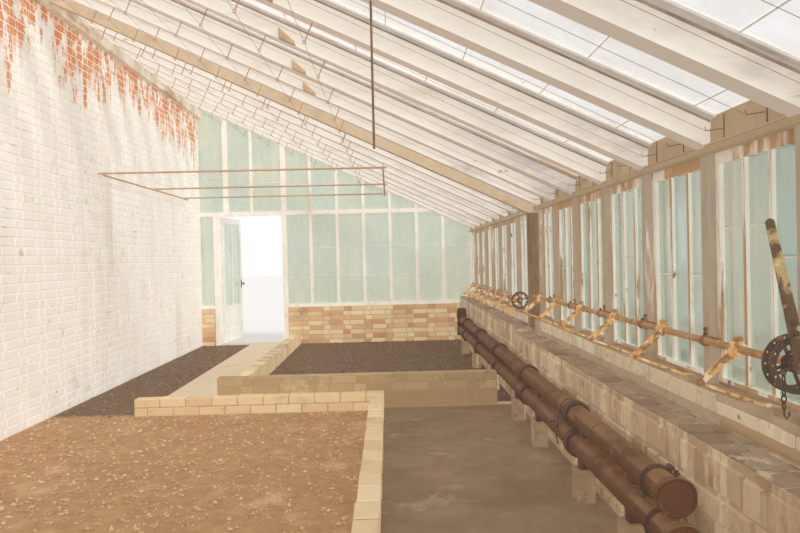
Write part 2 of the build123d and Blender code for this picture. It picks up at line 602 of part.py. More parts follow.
def gables_and_door():
    for name, y0, y1 in (("near_gable", -GABLE_FRAME_THICK, 0.0),
                         ("far_gable", LENGTH, LENGTH + GABLE_FRAME_THICK)):
        pieces = gable(y0, y1)
        gable_panes = []
        for key in ("upper_glass", "lower_glass", "side_glass"):
            gable_panes += pieces[key].solids()
        parts[f"{name}_glass"] = Compound(children=gable_panes)
        if name == "near_gable":
            frame = [pieces["upper_frame"], pieces["lower_frame"], pieces["corner"],
                     pieces["side_jamb"]]
            stops = block(DOOR_LEFT, DOOR_RIGHT, y0, y1 - DOOR_THICK, FLOOR_THICK, TRANSOM_BOTTOM)
            stops -= block(DOOR_LEFT + STOP_WIDTH, DOOR_RIGHT - STOP_WIDTH, y0 - 1, y1,
                           FLOOR_THICK - 1, TRANSOM_BOTTOM - STOP_WIDTH)
            parts["near_gable_frame"] = frame[0] + frame[1] + frame[2] + frame[3] + stops
            leaf, panes = door_leaf(y1)
            parts["near_door"] = leaf
            parts["near_door_glass"] = panes
        else:
            parts["far_gable_upper_frame"] = pieces["upper_frame"]
            parts["far_gable_lower_frame"] = Compound(
                children=[pieces["lower_frame"], pieces["corner"]])
            parts["door_side_jamb"] = pieces["side_jamb"]

    outer_y = LENGTH + GABLE_FRAME_THICK
    leaf, panes = door_leaf(outer_y)
    axis_y = outer_y + HINGE_OFFSET
    for z in (HINGE_LOW, TRANSOM_BOTTOM - HINGE_BELOW_TRANSOM):
        leaf += knuckle(outer_y, axis_y, z)
        parts["door_side_jamb"] += pintle(outer_y, axis_y, z)
    for z in (HINGE_LOW, TRANSOM_BOTTOM - HINGE_BELOW_TRANSOM):
        foot = z - HINGE_LENGTH / 2
        leaf -= rod((DOOR_LEFT, axis_y, foot - 1), (DOOR_LEFT, axis_y, foot + HINGE_LENGTH + 1),
                    PINTLE_RADIUS + PINTLE_CLEAR)
    swing = Pos(DOOR_LEFT, axis_y, 0) * Rot(0, 0, DOOR_OPEN_ANGLE) * Pos(-DOOR_LEFT, -axis_y, 0)
    parts["door_leaf"] = swing * leaf
    parts["door_glass"] = Compound(children=[swing * pane for pane in panes.solids()])
    return DOOR_LEFT, axis_y


def knuckle(outer_y, axis_y, z):
    """Strap across the leaf's outer face, its neck and the eye round the pin."""
    strap = block(DOOR_LEFT + HINGE_RADIUS, DOOR_LEFT + STRAP_LENGTH, outer_y, outer_y + STRAP_THICK,
                  z - STRAP_HALF, z + STRAP_HALF)
    neck = block(DOOR_LEFT, DOOR_LEFT + 2 * HINGE_RADIUS, outer_y, axis_y,
                 z - STRAP_HALF, z + STRAP_HALF)
    foot = z - HINGE_LENGTH / 2
    eye = rod((DOOR_LEFT, axis_y, foot), (DOOR_LEFT, axis_y, foot + HINGE_LENGTH), HINGE_RADIUS)
    return strap + neck + eye


def pintle(outer_y, axis_y, z):
    """Bracket on the jamb with the upright pin that carries the eye."""
    top = z - HINGE_LENGTH / 2 - PINTLE_SEAT
    bracket = block(DOOR_LEFT - SIDE_POST, DOOR_LEFT, outer_y, outer_y + STRAP_THICK,
                    top - PINTLE_BRACKET, top)
    bracket += block(DOOR_LEFT - HINGE_RADIUS, DOOR_LEFT, outer_y, axis_y, top - PINTLE_BRACKET, top)
    bracket += rod((DOOR_LEFT, axis_y, top - PINTLE_BRACKET), (DOOR_LEFT, axis_y, top), HINGE_RADIUS)
    pin_top = z + HINGE_LENGTH / 2 + HINGE_RADIUS
    return bracket + rod((DOOR_LEFT, axis_y, top), (DOOR_LEFT, axis_y, pin_top), PINTLE_RADIUS)


def pipe_run(x, z, start):
    """One cast pipe: blank end cap, bolted clamp and couplings."""

    def ring(y, length, radius):
        return rod((x, y, z), (x, y + length, z), radius, ROUND_SIDES)

    pipe = ring(start, PIPE_END_Y - start, PIPE_RADIUS)
    pipe += ring(start, CAP_LENGTH, COUPLING_RADIUS)
    pipe += ring(start + CAP_LENGTH - CAP_RING, CAP_RING, CAP_RADIUS)
    pipe -= ring(start - 1, CAP_RECESS + 1, CAP_BORE)
    clamp_y = start + CLAMP_PAST_CAP
    pipe += ring(clamp_y, CLAMP_LENGTH, CLAMP_RADIUS)
    for angle in EAR_ANGLES:
        ear = Box(EAR_REACH, CLAMP_LENGTH, EAR_WIDTH)
        pipe += Pos(x, clamp_y + CLAMP_LENGTH / 2, z) * Rot(0, -angle, 0) * \
            Pos(EAR_REACH / 2, 0, 0) * ear
    y = start + COUPLING_PITCH
    while y < PIPE_END_Y - COUPLING_END_CLEAR - COUPLING_LENGTH:
        pipe += ring(y, COUPLING_LENGTH, COUPLING_RADIUS)
        y += COUPLING_PITCH
    return pipe


def pipe_end_box():
    """Upright box with a bevelled top, and the sockets that meet both pipes' ends."""
    x = (UPPER_PIPE_X + LOWER_PIPE_X) / 2
    y = PIPE_END_Y + END_SOCKET + END_BOX_RADIUS
    shoulder = END_BOX_TOP - END_BOX_BEVEL
    box = rod((x, y, END_BOX_FOOT), (x, y, shoulder), END_BOX_RADIUS, ROUND_SIDES)
    box += extrude(Pos(x, y, shoulder) * RegularPolygon(END_BOX_RADIUS, ROUND_SIDES),
                   amount=END_BOX_BEVEL, taper=45)
    for px, pz in ((UPPER_PIPE_X, UPPER_PIPE_Z), (LOWER_PIPE_X, LOWER_PIPE_Z)):
        box += rod((px, PIPE_END_Y, pz), (px, y, pz), END_SOCKET_RADIUS, ROUND_SIDES)
    return box


def heating_pipes():
    parts["upper_pipe"] = pipe_run(UPPER_PIPE_X, UPPER_PIPE_Z, UPPER_PIPE_START_Y)
    parts["lower_pipe"] = pipe_run(LOWER_PIPE_X, LOWER_PIPE_Z, UPPER_PIPE_START_Y - PIPE_STAGGER)
    parts["pipe_end_box"] = pipe_end_box()
    stands, saddles = [], []
    for place in STAND_PLACES:
        y = UPPER_PIPE_START_Y + place
        y0 = y - STAND_LENGTH / 2
        x0 = LOWER_PIPE_X - STAND_WIDTH / 2
        stands.append(block(x0, x0 + STAND_WIDTH, y0, y0 + STAND_LENGTH, FLOOR_THICK, STAND_TOP))
        trims = [rod((px, y - STAND_LENGTH, pz), (px, y + STAND_LENGTH, pz),
                     PIPE_RADIUS + SADDLE_SEAT)
                 for px, pz in ((UPPER_PIPE_X, UPPER_PIPE_Z), (LOWER_PIPE_X, LOWER_PIPE_Z))]
        half = SADDLE_WIDTH / 2
        low = block(LOWER_PIPE_X - half, LOWER_PIPE_X + half, y - SADDLE_LENGTH / 2,
                    y + SADDLE_LENGTH / 2, STAND_TOP, LOWER_PIPE_Z - PIPE_RADIUS / 2)
        middle_x = (UPPER_PIPE_X + LOWER_PIPE_X) / 2
        high = block(middle_x - half, middle_x + half, y - SADDLE_LENGTH / 2,
                     y + SADDLE_LENGTH / 2, LOWER_PIPE_Z + PIPE_RADIUS / 2,
                     UPPER_PIPE_Z - PIPE_RADIUS / 2)
        saddles += [low - trims[1], high - trims[0] - trims[1]]
    parts["pipe_stands"] = Compound(children=stands)
    parts["pipe_saddles"] = Compound(children=saddles)


def lever_lines():
    """Where the levers sit along the near and the far shaft."""
    near = [(y0 + y1) / 2 - LEVER_BEFORE_MID for y0, y1 in zip(near_lines[:-1], near_lines[1:])]
    far = [(y0 + y1) / 2 - LEVER_BEFORE_MID for y0, y1 in zip(far_lines[:-1], far_lines[1:])]
    return ([y for y in near if y > SHAFT_START_Y + 2 * HUB_LENGTH],
            [y for y in far if FAR_SHAFT_START_Y < y < FAR_SHAFT_END_Y - HUB_LENGTH])


def vent_lines():
    near, far = lever_lines()
    return near + far


def shaft_bore(x, y, z, length):
    """Cut for the shaft, with its flats clear of the shaft all round."""
    flats = RegularPolygon(SHAFT_RADIUS + BORE_CLEAR, ROD_SIDES, major_radius=False)
    return extrude(Plane(origin=(x, y - length, z), z_dir=(0, 1, 0)) * flats, amount=2 * length)


def collar(x, y, z, flat, length):
    """Eight-sided collar, centred on y, still without its bore."""
    plane = Plane(origin=(x, y - length / 2, z), z_dir=(0, 1, 0))
    return extrude(plane * Rot(0, 0, 22.5) * octagon(flat), amount=length)


def lever(x, y, z):
    """Clamped hub and the tapering flat arm with its rounded eye."""
    taper = [(0, -LEVER_ROOT / 2), (LEVER_LENGTH, -LEVER_TIP / 2),
             (LEVER_LENGTH, LEVER_TIP / 2), (0, LEVER_ROOT / 2)]
    arm = prism(taper, -LEVER_THICK / 2, LEVER_THICK / 2)
    arm += Pos(LEVER_LENGTH, 0, 0) * Rot(90, 0, 0) * extrude(octagon(LEVER_TIP / 2), LEVER_THICK / 2,
                                                         both=True)
    arm = Pos(x, y, z) * Rot(0, -LEVER_ANGLE, 0) * arm
    return collar(x, y, z, HUB_RADIUS, HUB_LENGTH) + arm - shaft_bore(x, y, z, HUB_LENGTH)


def link(x, y, z):
    """Square bar from the lever's end out through the vent hole to the board outside."""
    start_x = x + LEVER_LENGTH * cos(radians(LEVER_ANGLE))
    start_z = z + LEVER_LENGTH * sin(radians(LEVER_ANGLE))
    side_y = y - LEVER_THICK / 2 - LINK_HALF
    bend_x = WIDTH + LINK_BEND_PAST_POST
    bend_z = (CREAM_TOP + FRONT_WALL_TOP) / 2
    lower = [(start_x, start_z - LINK_HALF), (bend_x, bend_z - LINK_HALF),
             (WALL_OUTER, bend_z - LINK_HALF)]
    upper = [(px, pz + 2 * LINK_HALF) for px, pz in reversed(lower)]
    return prism(lower + upper, side_y - LINK_HALF, side_y + LINK_HALF)


def bearing(x, y, z, post_y):
    """Collar round the shaft on a cranked bracket from the post's inner face."""
    half = BRACKET_WIDTH / 2
    end = max(post_y + half, y + half)
    arm = block(x, WIDTH, y - BRACKET_THICK / 2, y + BRACKET_THICK / 2, z - half / 2, z + half / 2)
    strip = block(WIDTH - BRACKET_THICK, WIDTH, y - BRACKET_THICK / 2, end,
                  z - half / 2, z + half / 2)
    plate = block(WIDTH - BRACKET_THICK, WIDTH, post_y - half, post_y + half,
                  z - BRACKET_HEIGHT / 2, z + BRACKET_HEIGHT / 2)
    body = collar(x, y, z, BEARING_RADIUS, BEARING_LENGTH) + arm + strip + plate
    return body - shaft_bore(x, y, z, BEARING_LENGTH)


def chain_wheel(x, y, z, radius, rings):
    """Ring flanges side by side, each with four spokes to the common hub."""
    spread = FLANGE_SPREAD / 2 if rings == 2 else 0.0
    wheel = collar(x, y, z, WHEEL_HUB, 2 * spread + 2 * FLANGE_THICK)
    for offset in {-spread, spread}:
        plane = Plane(origin=(x, y + offset - FLANGE_THICK / 2, z), z_dir=(0, 1, 0))
        rim = RegularPolygon(radius, ROUND_SIDES) - RegularPolygon(radius - WHEEL_RIM, ROUND_SIDES)
        wheel += extrude(plane * rim, amount=FLANGE_THICK)
        for turn in (20.0, 110.0):
            wheel += Pos(x, y + offset, z) * Rot(0, turn, 0) * \
                Box(2 * radius - WHEEL_RIM, FLANGE_THICK, SPOKE_WIDTH)
    return wheel - shaft_bore(x, y, z, FLANGE_SPREAD)


def wheel_arm(x, y, z):
    """Hand lever: a collar on the shaft and a long tapering bar with a rounded top."""
    side = prism([(-ARM_ROOT / 2, 0), (ARM_ROOT / 2, 0), (ARM_TOP / 2 - ARM_LEAN, ARM_RISE),
                  (-ARM_TOP / 2 - ARM_LEAN, ARM_RISE)], -ARM_THICK / 2, ARM_THICK / 2)
    side += Pos(-ARM_LEAN, 0, ARM_RISE) * Rot(90, 0, 0) * extrude(
        octagon(ARM_TOP / 2), ARM_THICK / 2, both=True)
    body = collar(x, y, z, HUB_RADIUS, 2 * ARM_THICK) + Pos(x, y, z) * side
    return body - shaft_bore(x, y, z, HUB_LENGTH)


def vent_gear():
    near_end = near_lines[-2] + SHAFT_END_PAST_POST
    wheel_y = near_lines[WHEEL_BAY_COUNT] - WHEEL_BEFORE_POST
    far_wheel_y = MAIN_Y + FAR_WHEEL_PAST_MAIN
    near_levers, far_levers = lever_lines()
    places = [(SHAFT_X, y, SHAFT_Z) for y in near_levers]
    places += [(FAR_SHAFT_X, y, FAR_SHAFT_Z) for y in far_levers]
    parts["vent_shafts"] = Compound(children=[
        rod((SHAFT_X, SHAFT_START_Y, SHAFT_Z), (SHAFT_X, near_end, SHAFT_Z), SHAFT_RADIUS),
        rod((FAR_SHAFT_X, FAR_SHAFT_START_Y - FAR_SHAFT_LEAD, FAR_SHAFT_Z),
            (FAR_SHAFT_X, FAR_SHAFT_END_Y, FAR_SHAFT_Z), SHAFT_RADIUS)])
    parts["vent_levers"] = Compound(children=[lever(*place) for place in places])
    parts["vent_links"] = Compound(children=[link(*place) for place in places])
    bearings = [bearing(SHAFT_X, y - BEARING_BEFORE_POST, SHAFT_Z, y)
                for y in near_lines[1:-1] if SHAFT_START_Y < y - BEARING_BEFORE_POST < near_end]
    bearings += [bearing(FAR_SHAFT_X, y, FAR_SHAFT_Z, y)
                 for y in far_lines[1:-1:2] if y < FAR_SHAFT_END_Y]
    parts["shaft_bearings"] = Compound(children=bearings)
    parts["chain_wheels"] = Compound(children=[
        chain_wheel(SHAFT_X, wheel_y, SHAFT_Z, WHEEL_RADIUS, 2),
        chain_wheel(FAR_SHAFT_X, far_wheel_y, FAR_SHAFT_Z, FAR_WHEEL_RADIUS, 1)])
    parts["wheel_arm"] = wheel_arm(SHAFT_X, wheel_y - ARM_BEFORE_WHEEL, SHAFT_Z)


def hanging_rails():
    """Rusty rods under the roof: a frame from the back wall, and one loose rod."""
    bars_y = [MAIN_Y + past for past in RAIL_BARS_PAST_MAIN]
    side_z = RAIL_Z - 2 * RAIL_RADIUS - BED_GAP
    rails = [rod((x, bars_y[0] - RAIL_END, side_z), (x, bars_y[-1] + RAIL_END, side_z), RAIL_RADIUS,
                 ROD_SIDES) for x in (RAIL_LEFT, RAIL_RIGHT)]
    rails += [rod((0, y, RAIL_Z), (RAIL_RIGHT + RAIL_END, y, RAIL_Z), RAIL_RADIUS, ROD_SIDES)
              for y in bars_y]
    for y in (far_lines[2], far_lines[4], far_lines[6]):
        foot = side_z + RAIL_RADIUS + BED_GAP
        head = rafter_under(RAIL_RIGHT) + HANGER_BURY
        hanger = rod((RAIL_RIGHT, y, foot), (RAIL_RIGHT, y, head), HANGER_RADIUS, ROD_SIDES)
        rails.append(hanger - rafter(y, RAFTER_WIDTH))
    parts["hanging_rails"] = Compound(children=rails)
    loose_y = near_lines[5]
    loose = rod((ROD_X, loose_y, ROD_BOTTOM), (ROD_X, loose_y, rafter_under(ROD_X) + HANGER_BURY),
                HANGER_RADIUS, ROD_SIDES)
    parts["hanging_rod"] = loose - rafter(loose_y, RAFTER_WIDTH)


masonry()
floor_and_kerbs()
timber_frame()
roof_glazing()
eaves()
front_glazing()
hinge_x, hinge_y = gables_and_door()
heating_pipes()
vent_gear()
hanging_rails()

boxes = [shape.bounding_box() for shape in parts.values()]
middle_x = (min(box.min.X for box in boxes) + max(box.max.X for box in boxes)) / 2
middle_y = (min(box.min.Y for box in boxes) + max(box.max.Y for box in boxes)) / 2
shift = Pos(-middle_x, -middle_y, 0)
os.makedirs("parts", exist_ok=True)
for node_name, shape in parts.items():
    export_step(shift * shape, f"parts/{node_name}.step")
print("origin shift", shift.position.X, shift.position.Y)
print("hinge axis", hinge_x + shift.position.X, hinge_y + shift.position.Y)
print("house length", LENGTH, "main frame", MAIN_Y)
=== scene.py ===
"""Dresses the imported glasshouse: brickwork, glazing, timber, iron, floor, materials, light and camera."""

import math
import random

import bpy
from mathutils import Matrix, Vector


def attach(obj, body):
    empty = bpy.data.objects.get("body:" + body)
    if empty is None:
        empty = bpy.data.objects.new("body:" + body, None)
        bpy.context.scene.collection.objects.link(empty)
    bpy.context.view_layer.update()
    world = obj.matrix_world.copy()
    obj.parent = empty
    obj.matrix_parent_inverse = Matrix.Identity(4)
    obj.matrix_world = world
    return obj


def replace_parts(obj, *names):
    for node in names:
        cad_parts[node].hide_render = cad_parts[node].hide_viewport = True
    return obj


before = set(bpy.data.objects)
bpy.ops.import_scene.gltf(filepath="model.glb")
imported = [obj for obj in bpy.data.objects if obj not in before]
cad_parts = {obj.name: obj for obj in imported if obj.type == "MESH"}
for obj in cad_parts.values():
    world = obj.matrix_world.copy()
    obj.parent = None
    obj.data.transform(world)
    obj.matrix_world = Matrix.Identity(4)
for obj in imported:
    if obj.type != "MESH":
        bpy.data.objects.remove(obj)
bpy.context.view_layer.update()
random.seed(11)

# Places in the building's own axes: x from the back wall's face, y from the near gable, z up
SHIFT = Vector((-2.1175, -6.39953, 0.0))
WIDTH, FRONT_OUT, LENGTH, MAIN_Y = 4.35, 4.45, 11.883, 6.865
WALL_IN, WALL_OUT, BENCH = 4.33, 4.56, 4.16
NEAR = [0.0, 0.69, 1.38, 2.07, 2.76, 3.45, 4.14, 4.83, 5.52, 6.14, 6.665]
FAR = [7.155 + 0.591 * k for k in range(9)]
POSTS = NEAR[1:] + FAR[:-1]
END_WALL, BACK_WALL, BACK_TOP = 0.19, 0.34, 4.32
PITCH = math.radians(25.0)
TAN, COS = math.tan(PITCH), math.cos(PITCH)
EAVES, RAFTER_DEEP, GLASS_DOWN = 1.805, 0.15, 0.036
RAFTER_WIDTH, MAIN_WIDTH = 0.10, 0.08
STRETCHER, HEADER, BRICK_HIGH, COURSE, JOINT = 0.215, 0.1025, 0.065, 0.075, 0.01


def under(x):
    """Underside of the rafters."""
    return EAVES + (WIDTH - x) * TAN


def top(x):
    """Top of the rafters."""
    return under(x) + RAFTER_DEEP / COS


def glass_under(x):
    """Underside of the roof glass."""
    return top(x) - GLASS_DOWN / COS


def bays(width, main_width):
    """Clear spaces between posts or rafters of one width and the wider main one."""
    lines = sorted([(y, width) for y in POSTS] + [(MAIN_Y, main_width)])
    low, pairs = 0.0, []
    for y, w in lines:
        pairs.append((low, y - w / 2))
        low = y + w / 2
    return pairs + [(low, LENGTH)]


def wobble(size):
    return random.uniform(-size, size)


def every(start, stop, step):
    while start < stop:
        yield start
        start += step


def laid(start, stop, draw):
    """Start and length of each piece in a row; the last may run past the stop."""
    while start < stop:
        long = draw()
        yield start, long
        start += long


def cut(start, stop, draw, least):
    """Both ends of each piece that fills a stretch, with no last piece under the least."""
    while start < stop - 0.02:
        end = min(start + draw(), stop)
        if stop - end < least:
            end = stop
        yield start, end
        start = end


# Mesh building
def soften(obj, width):
    """Takes the edges off."""
    mod = obj.modifiers.new("edges", "BEVEL")
    mod.width, mod.segments, mod.limit_method = width, 1, "ANGLE"
    return mod


class Shape:
    """Collects vertices and faces of one piece, in metres in the building's axes."""

    def __init__(self):
        self.v, self.f = [], []

    def add(self, verts, faces):
        n = len(self.v)
        self.v += [Vector(p) for p in verts]
        self.f += [tuple(i + n for i in face) for face in faces]

    def box(self, x0, x1, y0, y1, z0, z1, jitter=0.0):
        pts = [(x, y, z) for z in (z0, z1) for y in (y0, y1) for x in (x0, x1)]
        if jitter:
            pts = [tuple(c + wobble(jitter) for c in p) for p in pts]
        self.add(pts, [(0, 2, 3, 1), (4, 5, 7, 6), (0, 1, 5, 4), (2, 6, 7, 3), (0, 4, 6, 2), (1, 3, 7, 5)])

    def bar(self, a, b, wide, thick, side=(0, 1, 0)):
        """Rectangular bar from a to b; wide is measured along side."""
        a, b = Vector(a), Vector(b)
        along = (b - a).normalized()
        s = Vector(side)
        s = (s - along * s.dot(along)).normalized() * wide / 2
        t = along.cross(s).normalized() * thick / 2
        pts = [p + i * s + j * t for p in (a, b) for i, j in ((-1, -1), (1, -1), (1, 1), (-1, 1))]
        self.add(pts, [(3, 2, 1, 0), (4, 5, 6, 7), (0, 1, 5, 4), (1, 2, 6, 5), (2, 3, 7, 6), (3, 0, 4, 7)])

    def tube(self, path, radius, n=8, closed=False):
        """Round bar along a path; the radius may be a list."""
        path = [Vector(p) for p in path]
        count = len(path)
        base = len(self.v)
        for i, p in enumerate(path):
            if closed:
                d = path[(i + 1) % count] - path[i - 1]
            else:
                d = path[min(i + 1, count - 1)] - path[max(i - 1, 0)]
            d.normalize()
            ref = Vector((0, 0, 1)) if abs(d.z) < 0.9 else Vector((1, 0, 0))
            s = d.cross(ref).normalized()
            t = s.cross(d)
            r = radius[i] if isinstance(radius, (list, tuple)) else radius
            self.v += [p + r * (math.cos(a) * s + math.sin(a) * t)
                       for a in (2 * math.pi * k / n for k in range(n))]
        for i in range(count if closed else count - 1):
            p, q = base + i * n, base + ((i + 1) % count) * n
            self.f += [(q + k, q + (k + 1) % n, p + (k + 1) % n, p + k) for k in range(n)]
        if not closed:
            self.f.append(tuple(base + k for k in range(n)))
            self.f.append(tuple(base + (count - 1) * n + k for k in reversed(range(n))))

    def turned(self, x, z, profile, n=48):
        """Form turned about a line along y; the profile lists places along y with their radii."""
        base = len(self.v)
        for y, r in profile:
            self.v += [Vector((x + r * math.cos(a), y, z + r * math.sin(a)))
                       for a in (2 * math.pi * k / n for k in range(n))]
        last = base + (len(profile) - 1) * n
        for p in range(base, last, n):
            self.f += [(p + n + k, p + n + (k + 1) % n, p + (k + 1) % n, p + k) for k in range(n)]
        self.f.append(tuple(base + k for k in range(n)))
        self.f.append(tuple(last + k for k in reversed(range(n))))

    def prism(self, outline, y0, y1):
        """Outline in x and z run along y."""
        n = len(outline)
        self.add([(x, y0, z) for x, z in outline] + [(x, y1, z) for x, z in outline],
                 [tuple(range(n)), tuple(range(2 * n - 1, n - 1, -1))]
                 + [(k, k + n, (k + 1) % n + n, (k + 1) % n) for k in range(n)])

    def pad(self, corner, u, n, wide, high, deep, edge=0.003, jitter=0.0012):
        """The proud face of one brick: a low frustum on a wall with direction u and normal n."""
        corner, u, n = Vector(corner), Vector(u), Vector(n)
        up = Vector((0, 0, 1)) if abs(n.z) < 0.5 else n.cross(u)
        deep += wobble(0.3) * deep
        base = [corner, corner + u * wide, corner + u * wide + up * high, corner + up * high]
        tops = []
        for (i, j), p in zip(((1, 1), (-1, 1), (-1, -1), (1, -1)), base):
            tops.append(p + u * i * (edge + wobble(jitter)) + up * j * (edge + wobble(jitter)) + n * deep)
        faces = [(4, 5, 6, 7), (0, 1, 5, 4), (1, 2, 6, 5), (2, 3, 7, 6), (3, 0, 4, 7)]
        if u.cross(up).dot(n) < 0:
            faces = [tuple(reversed(f)) for f in faces]
        self.add(base + tops, faces)

    def make(self, name, look, slot, body="house", bevel=0.0, smooth=False):
        mesh = bpy.data.meshes.new(name)
        mesh.from_pydata([tuple(p + SHIFT) for p in self.v], [], self.f)
        mesh.materials.append(palette[look])
        if smooth:
            mesh.polygons.foreach_set("use_smooth", [True] * len(mesh.polygons))
            mesh.set_sharp_from_angle(angle=math.radians(40.0))
        obj = bpy.data.objects.new(name, mesh)
        bpy.context.scene.collection.objects.link(obj)
        if bevel:
            soften(obj, bevel)
        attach(obj, body)
        return obj


def courses(shape, start, u, n, length, z0, z1, deep=0.003):
    """Brick faces over a wall area, stretchers and headers in turn in each course."""
    u = Vector(u)
    row = 0
    z = z0
    while z < z1 - 0.02:
        high = min(BRICK_HIGH, z1 - z)
        at = -0.105 if row % 2 else -0.02
        header = bool(row % 2)
        while at < length:
            wide = HEADER if header else STRETCHER
            a, b = max(at, 0.0), min(at + wide, length)
            if b - a > 0.03:
                p = Vector(start) + u * a
                shape.pad((p.x, p.y, z), u, n, b - a, high, deep)
            at += wide + JOINT
            header = not header
        z += COURSE
        row += 1


# Materials
LINES = (1, 0.15, 1)         # streaks along y
SLOPE = (0.2, 1.6, 0.6)      # streaks along the rafters
DRIPS = (1, 1, 0.12)         # streaks running down
EVEN = (1, 1, 1)
GRIME = (0.16, 0.13, 0.09)
# Beyond the cross kerb this mask lays painted sunlight on the far path and painted shade on the far bed.
FAR_END = ("Y", 0.36, 0.44)  # beyond the cross kerb
INWARD = ("X", None, None)   # on faces across the house
UPWARD = ("Z", None, None)
SIDEWAYS = ("Y", None, None)


def ramp(nt, source, low, high):
    node = nt.nodes.new("ShaderNodeMapRange")
    node.inputs["From Min"].default_value = low
    node.inputs["From Max"].default_value = high
    nt.links.new(source, node.inputs["Value"])
    return node.outputs["Result"]


def noise(nt, coords, scale, detail=6.0, stretch=EVEN, rough=0.6):
    mapping = nt.nodes.new("ShaderNodeMapping")
    mapping.inputs["Scale"].default_value = stretch
    nt.links.new(coords, mapping.inputs["Vector"])
    node = nt.nodes.new("ShaderNodeTexNoise")
    node.inputs["Scale"].default_value = scale
    node.inputs["Detail"].default_value = detail
    node.inputs["Roughness"].default_value = rough
    nt.links.new(mapping.outputs["Vector"], node.inputs["Vector"])
    return node.outputs["Fac"]


def blend(nt, fac, a, b):
    node = nt.nodes.new("ShaderNodeMix")
    node.data_type = "RGBA"
    nt.links.new(fac, node.inputs["Factor"])
    for value, socket in ((a, node.inputs["A"]), (b, node.inputs["B"])):
        if isinstance(value, tuple):
            socket.default_value = (*value, 1.0)
        else:
            nt.links.new(value, socket)
    return node.outputs["Result"]


def calc(nt, operation, *values):
    """Math node on numbers and sockets."""
    node = nt.nodes.new("ShaderNodeMath")
    node.operation = operation
    for value, socket in zip(values, node.inputs):
        if isinstance(value, float):
            socket.default_value = value
        else:
            nt.links.new(value, socket)
    return node.outputs["Value"]


def along(nt, vector, axis):
    """One coordinate of a vector."""
    split = nt.nodes.new("ShaderNodeSeparateXYZ")
    nt.links.new(vector, split.inputs["Vector"])
    return split.outputs[axis]


def facing(nt, axis):
    """1 where the surface faces along an axis, in either direction."""
    normal = nt.nodes.new("ShaderNodeNewGeometry").outputs["Normal"]
    return ramp(nt, calc(nt, "ABSOLUTE", along(nt, normal, axis)), 0.45, 0.6)


def runs(nt, coords, size, low, high, reach):
    """Ragged streaks that start thick at the height high and thin out down to low."""
    depth = ramp(nt, along(nt, coords, "Z"), low, high)
    ragged = calc(nt, "MULTIPLY_ADD", depth, reach, noise(nt, coords, size, 8.0, (1, 1, 0.14), 0.7))
    patches = ramp(nt, noise(nt, coords, size * 2.5, 6.0, (1, 1, 0.45), 0.7), 0.44, 0.50)
    return calc(nt, "MULTIPLY", ramp(nt, ragged, 0.80, 0.86), patches)


palette = {}


def blank(name):
    """Node tree of a new material in the palette, its shader's inputs and the object's coordinates."""
    mat = palette[name] = bpy.data.materials.new(name)
    mat.use_nodes = True
    nt = mat.node_tree
    return nt, nt.nodes["Principled BSDF"].inputs, nt.nodes.new("ShaderNodeTexCoord").outputs["Object"]


def material(name, base, second, layers=(), rough=0.85, bump=(40.0, 0.15), island=None, side=None,
             scale=6.0, fine=EVEN, streaks=None):
    """Weathered surface: two mixed tones, colours by piece, a tone on faces along one axis, stains and marks
    of painted light and shade laid over in turn, and bump.

    A layer, a stain or a mark of painted light or shade, is a tone, the size of its noise, where the noise
    starts and ends and, if it has them, its stretch and masks: an axis with two places between which it
    grows, or with None where it faces that axis.
    """
    nt, inputs, coords = blank(name)
    colour = blend(nt, ramp(nt, noise(nt, coords, scale), 0.35, 0.65), base, second)
    if island:
        geometry = nt.nodes.new("ShaderNodeNewGeometry")
        steps = nt.nodes.new("ShaderNodeValToRGB")
        stops = steps.color_ramp.elements
        while len(stops) < len(island):
            stops.new(0.5)
        for i, tone in enumerate(island):
            stops[i].position = i / (len(island) - 1)
            stops[i].color = (*tone, 1.0)
        nt.links.new(geometry.outputs["Random Per Island"], steps.inputs["Fac"])
        speck = ramp(nt, noise(nt, coords, 25.0), 0.3, 0.75)
        colour = blend(nt, calc(nt, "MULTIPLY", speck, 0.45), steps.outputs["Color"], colour)
    # A tone on faces along one axis; on the rafters and the main rafter it is painted shade on their
    # undersides.
    if side:
        colour = blend(nt, facing(nt, side[0]), colour, side[1])
    for tone, size, low, high, *more in layers:
        stretch, *masks = more or [EVEN]
        stain_and_painted_light = ramp(nt, noise(nt, coords, size, 8.0, stretch, 0.68), low, high)
        for axis, a, b in masks:
            mask = facing(nt, axis) if a is None else ramp(nt, along(nt, coords, axis), a, b)
            stain_and_painted_light = calc(nt, "MULTIPLY", stain_and_painted_light, mask)
        colour = blend(nt, stain_and_painted_light, colour, tone)
    if streaks:
        colour = blend(nt, runs(nt, coords, *streaks[1:]), colour, streaks[0])
    nt.links.new(colour, inputs["Base Color"])
    inputs["Roughness"].default_value = rough
    inputs["Specular IOR Level"].default_value = 0.3
    bumped = nt.nodes.new("ShaderNodeBump")
    bumped.inputs["Strength"].default_value = bump[1]
    bumped.inputs["Distance"].default_value = 0.01
    nt.links.new(noise(nt, coords, bump[0], 8.0, fine), bumped.inputs["Height"])
    nt.links.new(bumped.outputs["Normal"], inputs["Normal"])


def glass_material(name, tone, dirt, clear, dirty, scale, stretch=EVEN, above=None):
    """Dirty glass that hides more where it is dirty, with another tone where it is seen from above; on the
    roof that darker tone is partly algae and partly painted shade that keeps the lit outside from going
    white.
    """
    nt, inputs, coords = blank(name)
    geometry = nt.nodes.new("ShaderNodeNewGeometry")
    smear = ramp(nt, noise(nt, coords, scale, 8.0, stretch), 0.35, 0.70)
    colour = blend(nt, smear, tone, dirt)
    if above:
        upward = ramp(nt, along(nt, geometry.outputs["Normal"], "Z"), 0.2, 0.5)
        colour = blend(nt, upward, colour, above)
    nt.links.new(colour, inputs["Base Color"])
    film = calc(nt, "MULTIPLY_ADD", smear, dirty - clear, clear)
    each = calc(nt, "MULTIPLY_ADD", geometry.outputs["Random Per Island"], 0.10, film)
    nt.links.new(each, inputs["Alpha"])
    inputs["Roughness"].default_value = 0.12
    inputs["Specular IOR Level"].default_value = 0.6


